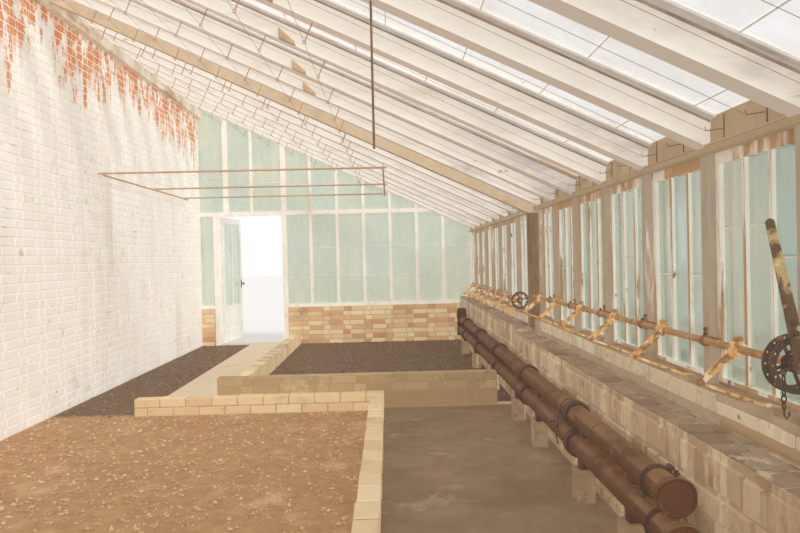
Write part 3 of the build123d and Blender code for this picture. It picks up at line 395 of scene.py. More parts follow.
material(
    "whitewash", (0.88, 0.86, 0.82), (0.84, 0.81, 0.75),
    [((0.74, 0.60, 0.46), 5.0, 0.62, 0.68), ((0.66, 0.62, 0.50), 2.0, 0.56, 0.8, DRIPS),
     ((0.50, 0.50, 0.36), 1.5, 0.6, 0.75, EVEN, ("Z", 0.9, 0.1))],
    island=[(0.89, 0.87, 0.83), (0.86, 0.83, 0.78), (0.90, 0.88, 0.84), (0.84, 0.80, 0.74)],
    streaks=((0.68, 0.28, 0.12), 5.0, 2.3, 3.6, 0.44))
material(
    "wash_mortar", (0.87, 0.84, 0.79), (0.82, 0.78, 0.72),
    [((0.52, 0.40, 0.28), 3.0, 0.58, 0.7), ((0.50, 0.43, 0.34), 3.0, 0.0, 0.3, EVEN, ("X", -2.2, -2.3)),
     ((0.50, 0.43, 0.34), 3.0, 0.0, 0.3, EVEN, ("Z", 4.0, 4.05))])
material(
    "garden_brick", (0.44, 0.22, 0.13), (0.36, 0.17, 0.10),
    [((0.24, 0.15, 0.11), 3.0, 0.58, 0.8, DRIPS), ((0.55, 0.50, 0.42), 9.0, 0.66, 0.74)],
    island=[(0.46, 0.22, 0.13), (0.38, 0.17, 0.10), (0.54, 0.29, 0.17), (0.33, 0.16, 0.12)])
material(
    "gable_brick", (0.74, 0.55, 0.33), (0.62, 0.43, 0.25),
    [((0.30, 0.23, 0.15), 3.0, 0.6, 0.8), ((0.42, 0.40, 0.24), 2.0, 0.6, 0.8, EVEN, ("Z", 0.35, 0.0))],
    island=[(0.80, 0.62, 0.38), (0.84, 0.70, 0.48), (0.70, 0.47, 0.26), (0.56, 0.28, 0.14),
     (0.76, 0.59, 0.38)])
material("lime_mortar", (0.52, 0.42, 0.30), (0.42, 0.33, 0.23), bump=(60.0, 0.3))
material(
    "cream_block", (0.74, 0.65, 0.50), (0.64, 0.54, 0.40),
    [((0.44, 0.33, 0.21), 5.0, 0.52, 0.66), (GRIME, 14.0, 0.61, 0.68),
     ((0.50, 0.40, 0.27), 2.5, 0.5, 0.7, DRIPS)], bump=(35.0, 0.35),
    island=[(0.78, 0.70, 0.55), (0.68, 0.58, 0.43), (0.82, 0.75, 0.61)])
# Darker brown made for the high kerb's face: partly dirt, partly painted shade; the cement roll shares it.
material(
    "kerb_render", (0.44, 0.31, 0.18), (0.36, 0.25, 0.14),
    [((0.62, 0.50, 0.34), 3.0, 0.56, 0.68), ((0.26, 0.18, 0.11), 6.0, 0.58, 0.7)], bump=(35.0, 0.4),
    island=[(0.48, 0.35, 0.21), (0.40, 0.28, 0.16), (0.54, 0.40, 0.25)])
material(
    "rubble", (0.52, 0.39, 0.25), (0.40, 0.29, 0.18),
    [((0.68, 0.57, 0.40), 5.0, 0.50, 0.58, (1, 1, 0.3)), (GRIME, 7.0, 0.58, 0.76),
     ((0.34, 0.21, 0.13), 3.0, 0.58, 0.7)], bump=(24.0, 0.8),
    island=[(0.56, 0.43, 0.28), (0.46, 0.33, 0.21), (0.62, 0.50, 0.34), (0.40, 0.27, 0.17)])
material(
    "ledge_stone", (0.34, 0.25, 0.175), (0.27, 0.19, 0.13),
    [((0.56, 0.47, 0.35), 6.0, 0.60, 0.66), (GRIME, 9.0, 0.56, 0.72)], bump=(30.0, 0.7),
    island=[(0.37, 0.275, 0.19), (0.29, 0.205, 0.14), (0.43, 0.335, 0.24), (0.25, 0.17, 0.12)])
material(
    "pier_stone", (0.44, 0.32, 0.21), (0.34, 0.24, 0.15),
    [((0.70, 0.62, 0.48), 6.0, 0.56, 0.62, DRIPS), (GRIME, 8.0, 0.56, 0.72)], bump=(24.0, 0.9))
material(
    "kerb_brick", (0.74, 0.57, 0.35), (0.63, 0.46, 0.27),
    [((0.40, 0.29, 0.18), 7.0, 0.56, 0.75), ((0.54, 0.48, 0.31), 3.0, 0.6, 0.7)], bump=(30.0, 0.4),
    island=[(0.78, 0.61, 0.39), (0.68, 0.50, 0.30), (0.82, 0.68, 0.46)])
# The lighter tone beyond the cross kerb, on the path to the far door, is painted sunlight.
material(
    "concrete", (0.31, 0.215, 0.135), (0.25, 0.17, 0.105),
    [((0.19, 0.13, 0.08), 1.3, 0.5, 0.75), ((0.42, 0.32, 0.22), 3.0, 0.56, 0.72),
     ((0.64, 0.53, 0.39), 3.0, 0.15, 0.4, EVEN, FAR_END), ((0.16, 0.12, 0.08), 9.0, 0.66, 0.72)],
    bump=(50.0, 0.3))
# The darker tone beyond the cross kerb is painted shade over the far bed.
material(
    "earth", (0.48, 0.29, 0.145), (0.38, 0.215, 0.105),
    [((0.60, 0.42, 0.25), 2.0, 0.55, 0.7), ((0.18, 0.115, 0.07), 3.0, 0.1, 0.4, EVEN, FAR_END)],
    bump=(60.0, 0.9), scale=12.0)
material(
    "pebbles", (0.46, 0.30, 0.17), (0.38, 0.24, 0.13), bump=(90.0, 0.3),
    island=[(0.36, 0.21, 0.11), (0.56, 0.39, 0.23), (0.46, 0.28, 0.15), (0.66, 0.51, 0.35),
     (0.42, 0.26, 0.14)])
# Darker copy of the pebbles for the far beds: painted shade.
material(
    "shaded_pebbles", (0.20, 0.135, 0.085), (0.16, 0.105, 0.065), bump=(90.0, 0.3),
    island=[(0.15, 0.10, 0.065), (0.24, 0.165, 0.105), (0.19, 0.125, 0.08), (0.38, 0.29, 0.20),
     (0.17, 0.11, 0.07)])
# The darker tone on faces turned up or down is painted shade on the rafters' undersides.
material(
    "cream_wood", (0.89, 0.86, 0.81), (0.85, 0.81, 0.75),
    [((0.74, 0.67, 0.59), 3.0, 0.54, 0.72, (0.12, 1.6, 2.2)),
     ((0.74, 0.45, 0.20), 8.0, 0.66, 0.69, (0.6, 1, 1)), ((0.40, 0.33, 0.29), 5.0, 0.66, 0.78, SLOPE),
     ((0.30, 0.20, 0.13), 22.0, 0.70, 0.73),
     ((0.50, 0.44, 0.46), 2.2, 0.47, 0.60, SLOPE, ("X", 1.3, 2.2), SIDEWAYS)], bump=(60.0, 0.18),
    fine=(0.2, 1, 1), side=("Z", (0.75, 0.70, 0.65)))
material(
    "stile_wood", (0.66, 0.64, 0.63), (0.57, 0.54, 0.52),
    [((0.50, 0.33, 0.19), 4.0, 0.56, 0.66, SLOPE), ((0.34, 0.28, 0.26), 6.0, 0.62, 0.74, SLOPE)],
    bump=(60.0, 0.2), fine=(0.2, 1, 1))
# Dark strip on the rafters' faces under the glass: painted shade in the gap between stile and rafter, with
# some dirt.
material("rebate_dirt_and_shade", (0.22, 0.17, 0.14), (0.38, 0.29, 0.22), bump=(80.0, 0.3), scale=9.0)
material(
    "post_wood", (0.50, 0.42, 0.335), (0.41, 0.34, 0.265),
    [((0.26, 0.20, 0.15), 5.0, 0.60, 0.8, DRIPS), ((0.76, 0.70, 0.60), 6.0, 0.6, 0.66, DRIPS),
     ((0.30, 0.21, 0.14), 2.0, 0.5, 0.7, EVEN, ("Z", 1.05, 0.8))], bump=(50.0, 0.25), fine=(1, 1, 0.15),
    side=("Y", (0.45, 0.365, 0.28)))
material(
    "dark_wood", (0.34, 0.24, 0.16), (0.25, 0.17, 0.11),
    [((0.12, 0.09, 0.07), 4.0, 0.55, 0.75, DRIPS), ((0.55, 0.46, 0.34), 5.0, 0.62, 0.7, SLOPE)],
    bump=(50.0, 0.3), fine=(0.3, 1, 0.3))
# The darker tone on faces turned up or down is painted shade on the main rafter's underside.
material(
    "beam_wood", (0.74, 0.62, 0.47), (0.64, 0.51, 0.37),
    [((0.40, 0.27, 0.17), 4.0, 0.56, 0.68, SLOPE), ((0.80, 0.50, 0.24), 9.0, 0.68, 0.72, (0.5, 1, 1))],
    bump=(50.0, 0.25), fine=(0.2, 1, 1), side=("Z", (0.46, 0.36, 0.27)))
material(
    "plate_wood", (0.76, 0.69, 0.58), (0.66, 0.57, 0.45),
    [((0.42, 0.28, 0.16), 6.0, 0.55, 0.66, LINES), ((0.24, 0.16, 0.10), 9.0, 0.62, 0.7, LINES)],
    bump=(50.0, 0.3))
material(
    "fascia_wood", (0.51, 0.395, 0.26), (0.44, 0.33, 0.21),
    [((0.35, 0.23, 0.14), 3.0, 0.56, 0.8, DRIPS), ((0.25, 0.14, 0.07), 9.0, 0.66, 0.72, DRIPS)],
    bump=(60.0, 0.15), island=[(0.52, 0.41, 0.28), (0.44, 0.34, 0.22), (0.56, 0.45, 0.31)])
material(
    "block_wood", (0.58, 0.44, 0.30), (0.46, 0.33, 0.21), [((0.24, 0.16, 0.10), 12.0, 0.58, 0.7)],
    bump=(60.0, 0.3))
material(
    "sash_wood", (0.84, 0.82, 0.76), (0.76, 0.73, 0.66),
    [((0.52, 0.34, 0.19), 6.0, 0.44, 0.52, (1, 1, 0.2), INWARD),
     ((0.42, 0.27, 0.15), 9.0, 0.58, 0.63, DRIPS), ((0.22, 0.13, 0.08), 16.0, 0.62, 0.66, (1, 1, 0.4))],
    bump=(70.0, 0.4), fine=(1, 1, 0.2))
material(
    "white_wood", (0.82, 0.81, 0.77), (0.76, 0.74, 0.68),
    [((0.54, 0.47, 0.38), 6.0, 0.58, 0.72, DRIPS), ((0.36, 0.27, 0.18), 14.0, 0.64, 0.68, DRIPS)],
    bump=(70.0, 0.25), fine=(1, 1, 0.2))
material(
    "gable_wood", (0.88, 0.84, 0.77), (0.82, 0.77, 0.70),
    [((0.56, 0.46, 0.34), 5.0, 0.58, 0.75, DRIPS), ((0.42, 0.27, 0.16), 12.0, 0.64, 0.7, (1, 1, 0.5))],
    bump=(70.0, 0.25), fine=(1, 1, 0.2))
material(
    "sill_wood", (0.44, 0.32, 0.21), (0.31, 0.22, 0.145),
    [((0.70, 0.62, 0.50), 6.0, 0.56, 0.64, LINES), ((0.60, 0.33, 0.14), 8.0, 0.62, 0.68, LINES),
     ((0.12, 0.09, 0.07), 5.0, 0.58, 0.75)], bump=(45.0, 0.6))
# The pale tone on the pipes' tops, fading out toward the far end, is partly dust and partly painted sunlight.
material(
    "pipe_rust", (0.165, 0.080, 0.035), (0.12, 0.055, 0.024),
    [((0.29, 0.165, 0.085), 5.0, 0.30, 0.62, (1, 0.5, 1), UPWARD, ("Y", 0.5, -2.5)),
     ((0.080, 0.045, 0.026), 4.0, 0.55, 0.75, (1, 0.4, 1)),
     ((0.30, 0.15, 0.06), 7.0, 0.56, 0.70, (1, 0.5, 1)), ((0.26, 0.17, 0.10), 3.0, 0.60, 0.75)], rough=0.8,
    bump=(90.0, 0.35))
material(
    "band_rust", (0.19, 0.085, 0.05), (0.13, 0.065, 0.045), [((0.30, 0.16, 0.09), 12.0, 0.6, 0.7)],
    rough=0.75, bump=(90.0, 0.4))
material(
    "cast_iron", (0.13, 0.075, 0.05), (0.095, 0.06, 0.042), [((0.24, 0.12, 0.06), 9.0, 0.56, 0.7)],
    rough=0.72, bump=(80.0, 0.5))
material(
    "gear_rust", (0.50, 0.30, 0.15), (0.38, 0.21, 0.10),
    [((0.68, 0.49, 0.29), 14.0, 0.55, 0.7), ((0.28, 0.15, 0.08), 11.0, 0.6, 0.7),
     ((0.82, 0.70, 0.52), 24.0, 0.64, 0.72)], rough=0.8, bump=(120.0, 0.5), scale=20.0)
material(
    "lever_paint", (0.84, 0.52, 0.22), (0.76, 0.42, 0.15),
    [((0.92, 0.76, 0.54), 18.0, 0.52, 0.60), ((0.36, 0.19, 0.09), 22.0, 0.51, 0.58)], rough=0.7,
    bump=(120.0, 0.4), scale=14.0)
material(
    "bearing_rust", (0.38, 0.19, 0.09), (0.24, 0.12, 0.065), [((0.55, 0.32, 0.15), 20.0, 0.58, 0.68)],
    rough=0.8, bump=(120.0, 0.5), scale=20.0)
material(
    "hand_paint", (0.20, 0.125, 0.075), (0.13, 0.085, 0.055),
    [((0.60, 0.44, 0.24), 11.0, 0.50, 0.57), ((0.76, 0.63, 0.42), 22.0, 0.60, 0.66)], rough=0.75,
    bump=(110.0, 0.5), scale=15.0)
material(
    "dark_iron", (0.15, 0.09, 0.06), (0.10, 0.07, 0.055),
    [((0.36, 0.18, 0.09), 14.0, 0.58, 0.7), ((0.50, 0.34, 0.18), 30.0, 0.68, 0.74)], rough=0.7,
    bump=(110.0, 0.4), scale=15.0)
material("wire_rust", (0.40, 0.27, 0.17), (0.28, 0.18, 0.12), rough=0.8, bump=(200.0, 0.3), scale=30.0)
material("eye_rust", (0.56, 0.33, 0.18), (0.40, 0.24, 0.14), rough=0.8, bump=(200.0, 0.3), scale=30.0)
material("rail_rust", (0.58, 0.41, 0.28), (0.48, 0.31, 0.20), rough=0.8, bump=(150.0, 0.3), scale=25.0)
material("rod_iron", (0.24, 0.16, 0.11), (0.17, 0.11, 0.08), rough=0.8, bump=(150.0, 0.3), scale=25.0)
material(
    "lead_sheet", (0.42, 0.43, 0.44), (0.34, 0.35, 0.36), [((0.6, 0.6, 0.58), 5.0, 0.6, 0.75)], rough=0.6,
    bump=(25.0, 0.3))
material(
    "gutter_paint", (0.12, 0.125, 0.12), (0.09, 0.09, 0.09), [((0.34, 0.17, 0.08), 8.0, 0.62, 0.7)],
    rough=0.5, bump=(60.0, 0.15))
material(
    "coping_stone", (0.56, 0.53, 0.46), (0.47, 0.45, 0.39),
    [((0.30, 0.32, 0.22), 3.0, 0.56, 0.72), ((0.7, 0.68, 0.6), 9.0, 0.62, 0.7)], bump=(40.0, 0.4))
# The roof panes' darker tone on their upper faces is partly algae and partly painted shade against the lamps'
# glare.
glass_material(
    "roof_pane", (0.90, 0.92, 0.96), (0.84, 0.84, 0.82), 0.08, 0.32, 2.0, above=(0.44, 0.47, 0.43))
glass_material("wall_pane", (0.27, 0.41, 0.36), (0.56, 0.60, 0.51), 0.50, 0.76, 3.2, (1, 1.4, 0.3))
glass_material("gable_pane", (0.38, 0.46, 0.36), (0.62, 0.65, 0.54), 0.42, 0.70, 2.4, (1.2, 1, 0.35))
material("lap_edge", (0.80, 0.81, 0.76), (0.66, 0.66, 0.58), bump=(80.0, 0.3), scale=20.0)

# Materials of the CAD nodes, and the nodes that get their edges taken off
looks = {
    "wash_mortar": "back_wall", "coping_stone": "back_wall_coping",
    "sill_wood": "front_wall_course front_sill",
    "lime_mortar": "front_wall far_gable_walls near_gable_walls low_kerb long_kerb door_kerb",
    "rubble": "pipe_bench", "kerb_render": "high_kerb wall_roll", "pier_stone": "pipe_stands",
    "concrete": "path_slabs thresholds", "earth": "gravel_beds", "cream_wood": "rafters",
    "beam_wood": "main_rafter", "plate_wood": "wall_plate", "fascia_wood": "head_plate fascia_boards",
    "post_wood": "front_posts", "dark_wood": "main_post", "sash_wood": "front_sashes",
    "white_wood": "outer_fascia ventilators door_leaf near_door",
    "gable_wood": "far_gable_upper_frame far_gable_lower_frame door_side_jamb near_gable_frame",
    "wall_pane": "front_glass", "roof_pane": "roof_glass",
    "gable_pane": "far_gable_glass near_gable_glass door_glass near_door_glass",
    "lead_sheet": "top_flashing", "gutter_paint": "gutter", "pipe_rust": "upper_pipe lower_pipe",
    "cast_iron": "pipe_saddles pipe_end_box", "gear_rust": "vent_shafts",
    "lever_paint": "vent_levers vent_links", "bearing_rust": "shaft_bearings",
    "dark_iron": "chain_wheels", "hand_paint": "wheel_arm", "rail_rust": "hanging_rails",
    "rod_iron": "hanging_rod",
}
for look, nodes in looks.items():
    for node in nodes.split():
        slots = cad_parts[node].data.materials
        slots.clear()
        slots.append(palette[look])
softened = ("rafters front_posts main_post main_rafter front_sashes far_gable_lower_frame "
            "far_gable_upper_frame near_gable_frame near_door door_leaf high_kerb "
            "back_wall_coping pipe_stands fascia_boards")
for node in softened.split():
    soften(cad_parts[node], 0.0025).angle_limit = math.radians(50.0)

# Masonry
ACROSS, ALONG, UP = (1, 0, 0), (0, 1, 0), (0, 0, 1)
ENDS = ((-END_WALL, -1), (LENGTH + END_WALL, 1))
GROUND, FLOOR, WALL_HEAD, PARAPET = 0.005, 0.05, 3.86, 4.14
FRONT_HEAD, CORNER_HEAD = 0.78, 0.80
GABLE_FOOT, GABLE_HEAD, GABLE_IN = 0.035, 0.63, 0.04
DOOR_LEFT, DOOR_RIGHT = 0.21, 1.392

wall = Shape()
courses(wall, (0, 0, 0), ALONG, ACROSS, LENGTH, FLOOR, WALL_HEAD)
wall.make("back_wall_bricks_inside", "whitewash", "whitewashed_brick")
wall = Shape()
courses(wall, (0, -END_WALL, 0), ALONG, ACROSS, LENGTH + 2 * END_WALL, PARAPET, BACK_TOP)
courses(wall, (-BACK_WALL, -END_WALL, 0), ALONG, (-1, 0, 0), LENGTH + 2 * END_WALL, GROUND, BACK_TOP)
for y, n in ENDS:
    courses(wall, (-BACK_WALL, y, 0), ACROSS, (0, n, 0), BACK_WALL, GROUND, BACK_TOP)
wall.make("back_wall_bricks_outside", "garden_brick", "red_brick")
wall = Shape()
courses(wall, (WALL_OUT, -END_WALL, 0), ALONG, ACROSS, LENGTH + 2 * END_WALL, GROUND, FRONT_HEAD)
for y, n in ENDS:
    courses(wall, (WALL_IN, y, 0), ACROSS, (0, n, 0), WALL_OUT - WALL_IN, GROUND, CORNER_HEAD)
wall.make("front_wall_bricks_outside", "garden_brick", "red_brick")
for name, inner, (outer, n) in (("far", LENGTH - GABLE_IN, ENDS[1]), ("near", GABLE_IN, ENDS[0])):
    wall = Shape()
    for y, out in ((inner, (0, -n, 0)), (outer, (0, n, 0))):
        for x0, x1 in ((0.001, DOOR_LEFT), (DOOR_RIGHT, WALL_IN - 0.001)):
            courses(wall, (x0, y, 0), ACROSS, out, x1 - x0, GABLE_FOOT, GABLE_HEAD)
    wall.make(name + "_gable_bricks", "gable_brick", "gable_brick")


# Cream course over the front wall, lower where the cement roll lies against it
COURSE_FOOT, ROLL_END = 0.731, 3.261
course = Shape()
for y, long in laid(0.05, LENGTH - 0.06, lambda: random.choice((0.215, 0.325, 0.44, 0.225))):
    if abs(y + long / 2 - MAIN_Y) > 0.3 and random.random() > 0.03:
        high = 0.045 if y < ROLL_END else 0.073
        course.box(WALL_IN - 0.007, WALL_IN + 0.01, y, min(y + long - 0.014, LENGTH - 0.05),
                   COURSE_FOOT, COURSE_FOOT + high, 0.003)
course.make("cream_course_blocks", "cream_block", "cream_painted_brick", bevel=0.003)

# Bench beside the pipes: rubble face and flat stones on top
BENCH_TOPS = ((0.05, MAIN_Y, 0.68), (MAIN_Y, LENGTH - 0.05, 0.73))
bench = Shape()
for y0, y1, z1 in BENCH_TOPS:
    stop = z1 - 0.005
    for z, high in laid(0.055, stop - 0.04, lambda: random.choice((0.062, 0.075, 0.095, 0.13))):
        high = min(high, stop - z)
        for y, long in laid(y0, y1 - 0.05, lambda: random.uniform(0.09, 0.34)):
            bench.pad((BENCH, y, z + wobble(0.003)), ALONG, (-1, 0, 0), min(long, y1 - y) - 0.012,
                      high - 0.012, random.choice((0.004, 0.008, 0.013)), 0.008, 0.004)
bench.make("bench_wall_face", "rubble", "rough_render")
ledge = Shape()
for y0, y1, z in BENCH_TOPS:
    for y, deep in laid(y0, y1 - 0.05, lambda: random.uniform(0.07, 0.2)):
        for x, wide in laid(BENCH + 0.004, WALL_IN - 0.03, lambda: random.uniform(0.05, 0.12)):
            wide = min(wide, WALL_IN - 0.002 - x)
            ledge.box(x, x + wide - 0.006, y, min(y + deep - 0.008, y1),
                      z - 0.01, z + random.uniform(0.003, 0.014), 0.004)
ledge.make("bench_ledge_stones", "ledge_stone", "rough_render", bevel=0.004)

# Kerbs
LONG_KERB = (2.840, 2.958)
CROSS_KERB = (6.687, 6.804)
LOW_KERB = (1.470, 1.588)
KERB_LEFT = 0.776
HIGH_KERB_FACE, HIGH_KERB_TOP = 6.801, 0.345
kerb = Shape()
for z0, z1, shift in ((0.048, 0.118, 0.11), (0.127, 0.199, 0.0)):
    y = 0.045 - shift * 0.5
    while y < 6.68:
        a, b = max(y, 0.042), min(y + random.uniform(0.212, 0.220), 6.690)
        if b - a > 0.04:
            s = wobble(0.003)
            kerb.box(LONG_KERB[0] + s, LONG_KERB[1] + s, a, b, z0, z1 + wobble(0.002), 0.0015)
        y += 0.229 + (0.02 if random.random() > 0.85 else 0.0)
    for x in every(0.775 - shift, 2.95, STRETCHER + JOINT):
        a, b = max(x, KERB_LEFT), min(x + STRETCHER, 2.957)
        if b - a > 0.04:
            kerb.box(a, b, *CROSS_KERB, z0, z1 + wobble(0.002), 0.0015)
for y in every(6.915, LENGTH - 0.06, 0.114):
    kerb.box(LOW_KERB[0] + wobble(0.004), LOW_KERB[1] + wobble(0.004), y, min(y + 0.105, LENGTH - 0.043),
             0.04, 0.228 + random.uniform(-0.008, 0.003), 0.0015)
kerb.make("kerb_bricks", "kerb_brick", "kerb_brick", bevel=0.004)
face = Shape()
courses(face, (1.475, HIGH_KERB_FACE, 0), ACROSS, (0, -1, 0), 2.49, 0.20, 0.34, deep=0.002)
for x in every(1.476, 3.96, 0.226):
    face.pad((x, HIGH_KERB_FACE + 0.002, HIGH_KERB_TOP), ACROSS, UP, min(STRETCHER, 3.97 - x), 0.106, 0.003)
face.make("high_kerb_bricks", "kerb_render", "cream_painted_brick")

# Paths and gravel beds
slabs = Shape()
for x0, x1, y0, y1, long in ((2.960, 4.156, 0.045, 6.68, 1.35), (0.78, 1.468, 6.92, 11.83, 0.92)):
    y = y0
    while y < y1 - 0.2:
        slabs.pad((x0, y, FLOOR), ACROSS, UP, x1 - x0, min(long, y1 - y) - 0.012, 0.004, 0.006, 0.003)
        y += long * random.uniform(0.85, 1.15)
slabs.make("path_surface", "concrete", "concrete")


def stones(name, areas, seed, look):
    """Angular stones of eight faces, strewn over areas given as x0, x1, y0, y1 and a count."""
    random.seed(seed)
    shape = Shape()
    for x0, x1, y0, y1, count in areas:
        for _ in range(count):
            x, y = random.uniform(x0, x1), random.uniform(y0, y1)
            r = random.choice((0.005, 0.007, 0.009, 0.012, 0.018))
            turn = random.uniform(0, math.pi)
            c, s = math.cos(turn), math.sin(turn)
            z = 0.042 + r * 0.25
            pts = []
            for px, py, pz in (ACROSS, ALONG, (-1, 0, 0), (0, -1, 0), UP, (0, 0, -1)):
                k = r * random.uniform(0.75, 1.25)
                pts.append((x + k * (px * c - py * s * 0.75), y + k * (px * s + py * c * 0.75),
                            z + k * pz * 0.6))
            shape.add(pts, [(0, 1, 4), (1, 2, 4), (2, 3, 4), (3, 0, 4),
                            (1, 0, 5), (2, 1, 5), (3, 2, 5), (0, 3, 5)])
    shape.make(name, look, "gravel")


stones("gravel_near", [(0.02, 2.82, 0.06, 6.67, 9500)], 5, "pebbles")
# The far beds' pebbles take the darker copy, painted shade.
stones("gravel_far", [(0.02, 0.75, 6.71, 11.82, 1800), (1.60, 4.14, 6.93, 11.82, 4500)], 6, "shaded_pebbles")

# Roof
PANE, PANE_LIFT = 0.003, 0.0035
GLASS_END = FRONT_OUT + 0.038
stiles, gap_shade, panes, laps = Shape(), Shape(), Shape(), Shape()
for y0, y1 in bays(RAFTER_WIDTH, MAIN_WIDTH):
    for edge, inward in ((y0, 1), (y1, -1)):
        # Each bay edge gets a dark strip of painted shade with some dirt on the rafter's face, and a stile
        # beside it.
        for shape, near, far, deep in ((gap_shade, 0.0002, 0.0016, 0.020), (stiles, 0.010, 0.056, 0.014)):
            a, b = sorted((edge + inward * near, edge + inward * far))
            x0, x1 = 0.02, WIDTH + 0.008
            shape.prism([(x0, glass_under(x0) - deep / COS), (x1, glass_under(x1) - deep / COS),
                         (x1, glass_under(x1) - 0.001), (x0, glass_under(x0) - 0.001)], a, b)
    a, b = y0 + 0.002, y1 - 0.002
    long = 0.40 + wobble(0.03)
    for x, far in cut(0.0, GLASS_END, lambda: long, 0.088):
        t = wobble(0.0006)
        panes.prism([(x, glass_under(x)), (far, glass_under(far) + PANE_LIFT + t),
                     (far, glass_under(far) + PANE_LIFT + PANE + t), (x, glass_under(x) + PANE)], a, b)
        if far < FRONT_OUT:
            z = glass_under(far) - 0.0002
            laps.bar((far - 0.004, a, z), (far - 0.004, b, z), 0.006, 0.0012, side=(1, 0, -TAN))
stiles.make("roof_sash_stiles", "stile_wood", "cream_timber", bevel=0.002)
gap_shade.make("roof_rebate_shade", "rebate_dirt_and_shade", "cream_timber")
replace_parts(panes.make("roof_panes", "roof_pane", "horticultural_glass"), "roof_glass")
laps.make("roof_laps", "lap_edge", "horticultural_glass")

# Wires: seven along the house through eyes under the rafters, two up each bay from hooks
EYE_DROP, EYE_RING, EYE_SIDES = 0.088, 0.009, 8
eyes, wires, hooks = Shape(), Shape(), Shape()
for k in range(7):
    x = 0.557 + 0.352 * k
    line = [(x - 0.05, 0.03, under(x) - 0.075)]
    for y in sorted(POSTS + [MAIN_Y]):
        foot = under(x) if y != MAIN_Y else under(x) - 0.07
        end = Vector((x - 0.040, y + wobble(0.012), foot - EYE_DROP))
        eyes.tube([(x, y, foot + 0.004), tuple(end)], 0.0035, 6)
        loop = [(end.x + EYE_RING * math.sin(a) - 0.004, end.y, end.z - 0.008 + EYE_RING * math.cos(a))
                for a in (2 * math.pi * i / EYE_SIDES for i in range(EYE_SIDES))]
        eyes.tube(loop, 0.0025, 4, closed=True)
        if y != MAIN_Y:
            prev = line[-1]
            line.append(((prev[0] + end.x) / 2, (prev[1] + end.y) / 2, min(prev[2], end.z) - 0.012))
            line.append((end.x - 0.004, end.y, end.z - 0.008))
    line.append((x - 0.045, LENGTH - 0.01, under(x) - 0.08))
    wires.tube(line, 0.0012, 4)
for y0, y1 in bays(RAFTER_WIDTH, MAIN_WIDTH):
    if y1 - y0 < 0.3:
        continue
    for share in (0.25, 0.78):
        y = y0 + (y1 - y0) * share
        hooks.tube([(4.352, y, 1.80), (4.352, y, 1.915)], 0.0024, 6)
        hooks.tube([(4.362, y + 0.02, 1.862), (4.29, y + 0.02, 1.852), (4.287, y + 0.02, 1.868)], 0.0020, 5)
        wires.tube([(4.288, y + 0.02, 1.853), (2.3, y + 0.03, under(2.3) + 0.055),
                    (0.04, y + 0.04, under(0.04) + 0.06)], 0.0011, 4)
eyes.make("vine_eyes", "eye_rust", "rusty_iron")
wires.make("training_wires", "wire_rust", "rusty_iron")
hooks.make("fascia_hooks", "rod_iron", "rusty_iron")

# Wedges under the glass and boards over the front windows
blocks = Shape()
for y in NEAR[4:10]:
    x = 2.458 + wobble(0.03)
    x0, x1 = x - 0.050, x + 0.045
    blocks.prism([(x0, under(x0) - 0.004), (x1, under(x1) - 0.004), (x1, under(x1) + 0.020),
                  (x0, under(x0) + 0.064)], y - 0.086, y - 0.0505)
blocks.make("rafter_blocks", "block_wood", "tan_timber", bevel=0.004)
BOARD_IN, BOARD_OUT, BOARD_FOOT = 4.3545, 4.3602, 1.8055
boards = Shape()
for y0, y1 in bays(RAFTER_WIDTH, MAIN_WIDTH):
    for y, b in cut(y0 + 0.002, y1 - 0.002, lambda: random.choice((0.19, 0.23, 0.30)), 0.048):
        boards.prism([(BOARD_IN, BOARD_FOOT), (BOARD_OUT, BOARD_FOOT),
                      (BOARD_OUT, glass_under(BOARD_OUT) - 0.046),
                      (BOARD_IN, glass_under(BOARD_IN) - 0.046)], y, b - 0.003)
    boards.box(4.332, BOARD_IN, y0 + 0.001, y1 - 0.001, BOARD_FOOT, 1.815)
boards.make("fascia_facing", "fascia_wood", "tan_timber", bevel=0.0012)

# Front windows
SASH_X, SASH_FOOT, SASH_HEAD, PANE_HEAD = 4.387, 0.858, 1.732, 1.738
bars, panes, laps = Shape(), Shape(), Shape()
for y0, y1 in bays(0.06, MAIN_WIDTH):
    a, b = y0 + 0.034, y1 - 0.034
    count = 3 if b - a > 0.3 else 1
    edges = [a + (b - a) * k / count for k in range(count + 1)]
    for y in edges[1:-1]:
        bars.box(SASH_X, SASH_X + 0.033, y - 0.009, y + 0.009, SASH_FOOT, SASH_HEAD, 0.001)
    for p, q in zip(edges, edges[1:]):
        for z, up in cut(0.850, PANE_HEAD, lambda: random.choice((0.42, 0.5, 0.62, 0.9)), 0.15):
            x = 4.4035 + wobble(0.0005)
            panes.box(x, x + PANE, p + 0.001, q - 0.001, z, up + (0.012 if up < PANE_HEAD else 0.0))
            if up < PANE_HEAD:
                laps.box(x - 0.002, x - 0.0003, p + 0.002, q - 0.002, up - 0.003, up + 0.004, 0.0006)
bars.make("sash_bars", "sash_wood", "white_timber", bevel=0.002)
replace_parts(panes.make("front_panes", "wall_pane", "horticultural_glass"), "front_glass")

# Laps in the gables' glass
low_lines = [1.391] + [1.778 + 0.427 * k for k in range(6)] + [WIDTH]
high_laps = ((0.03, 0.38, 2.75), (0.03, 0.38, 3.3), (0.48, 0.82, 2.7), (0.88, 1.30, 2.65),
             (1.40, 1.75, 2.6), (1.80, 2.18, 2.55))
for y in (LENGTH + 0.0375, -0.0375):
    for x0, x1 in zip(low_lines, low_lines[1:]):
        for z in (1.12 + wobble(0.02), 1.58 + wobble(0.02)):
            laps.box(x0 + 0.022, x1 - 0.022, y - 0.0045, y + 0.0045, z, z + 0.006, 0.0008)
    for x0, x1, z in high_laps:
        laps.box(x0, x1, y - 0.0045, y + 0.0045, z, z + 0.006, 0.0008)
laps.make("pane_laps", "lap_edge", "horticultural_glass")

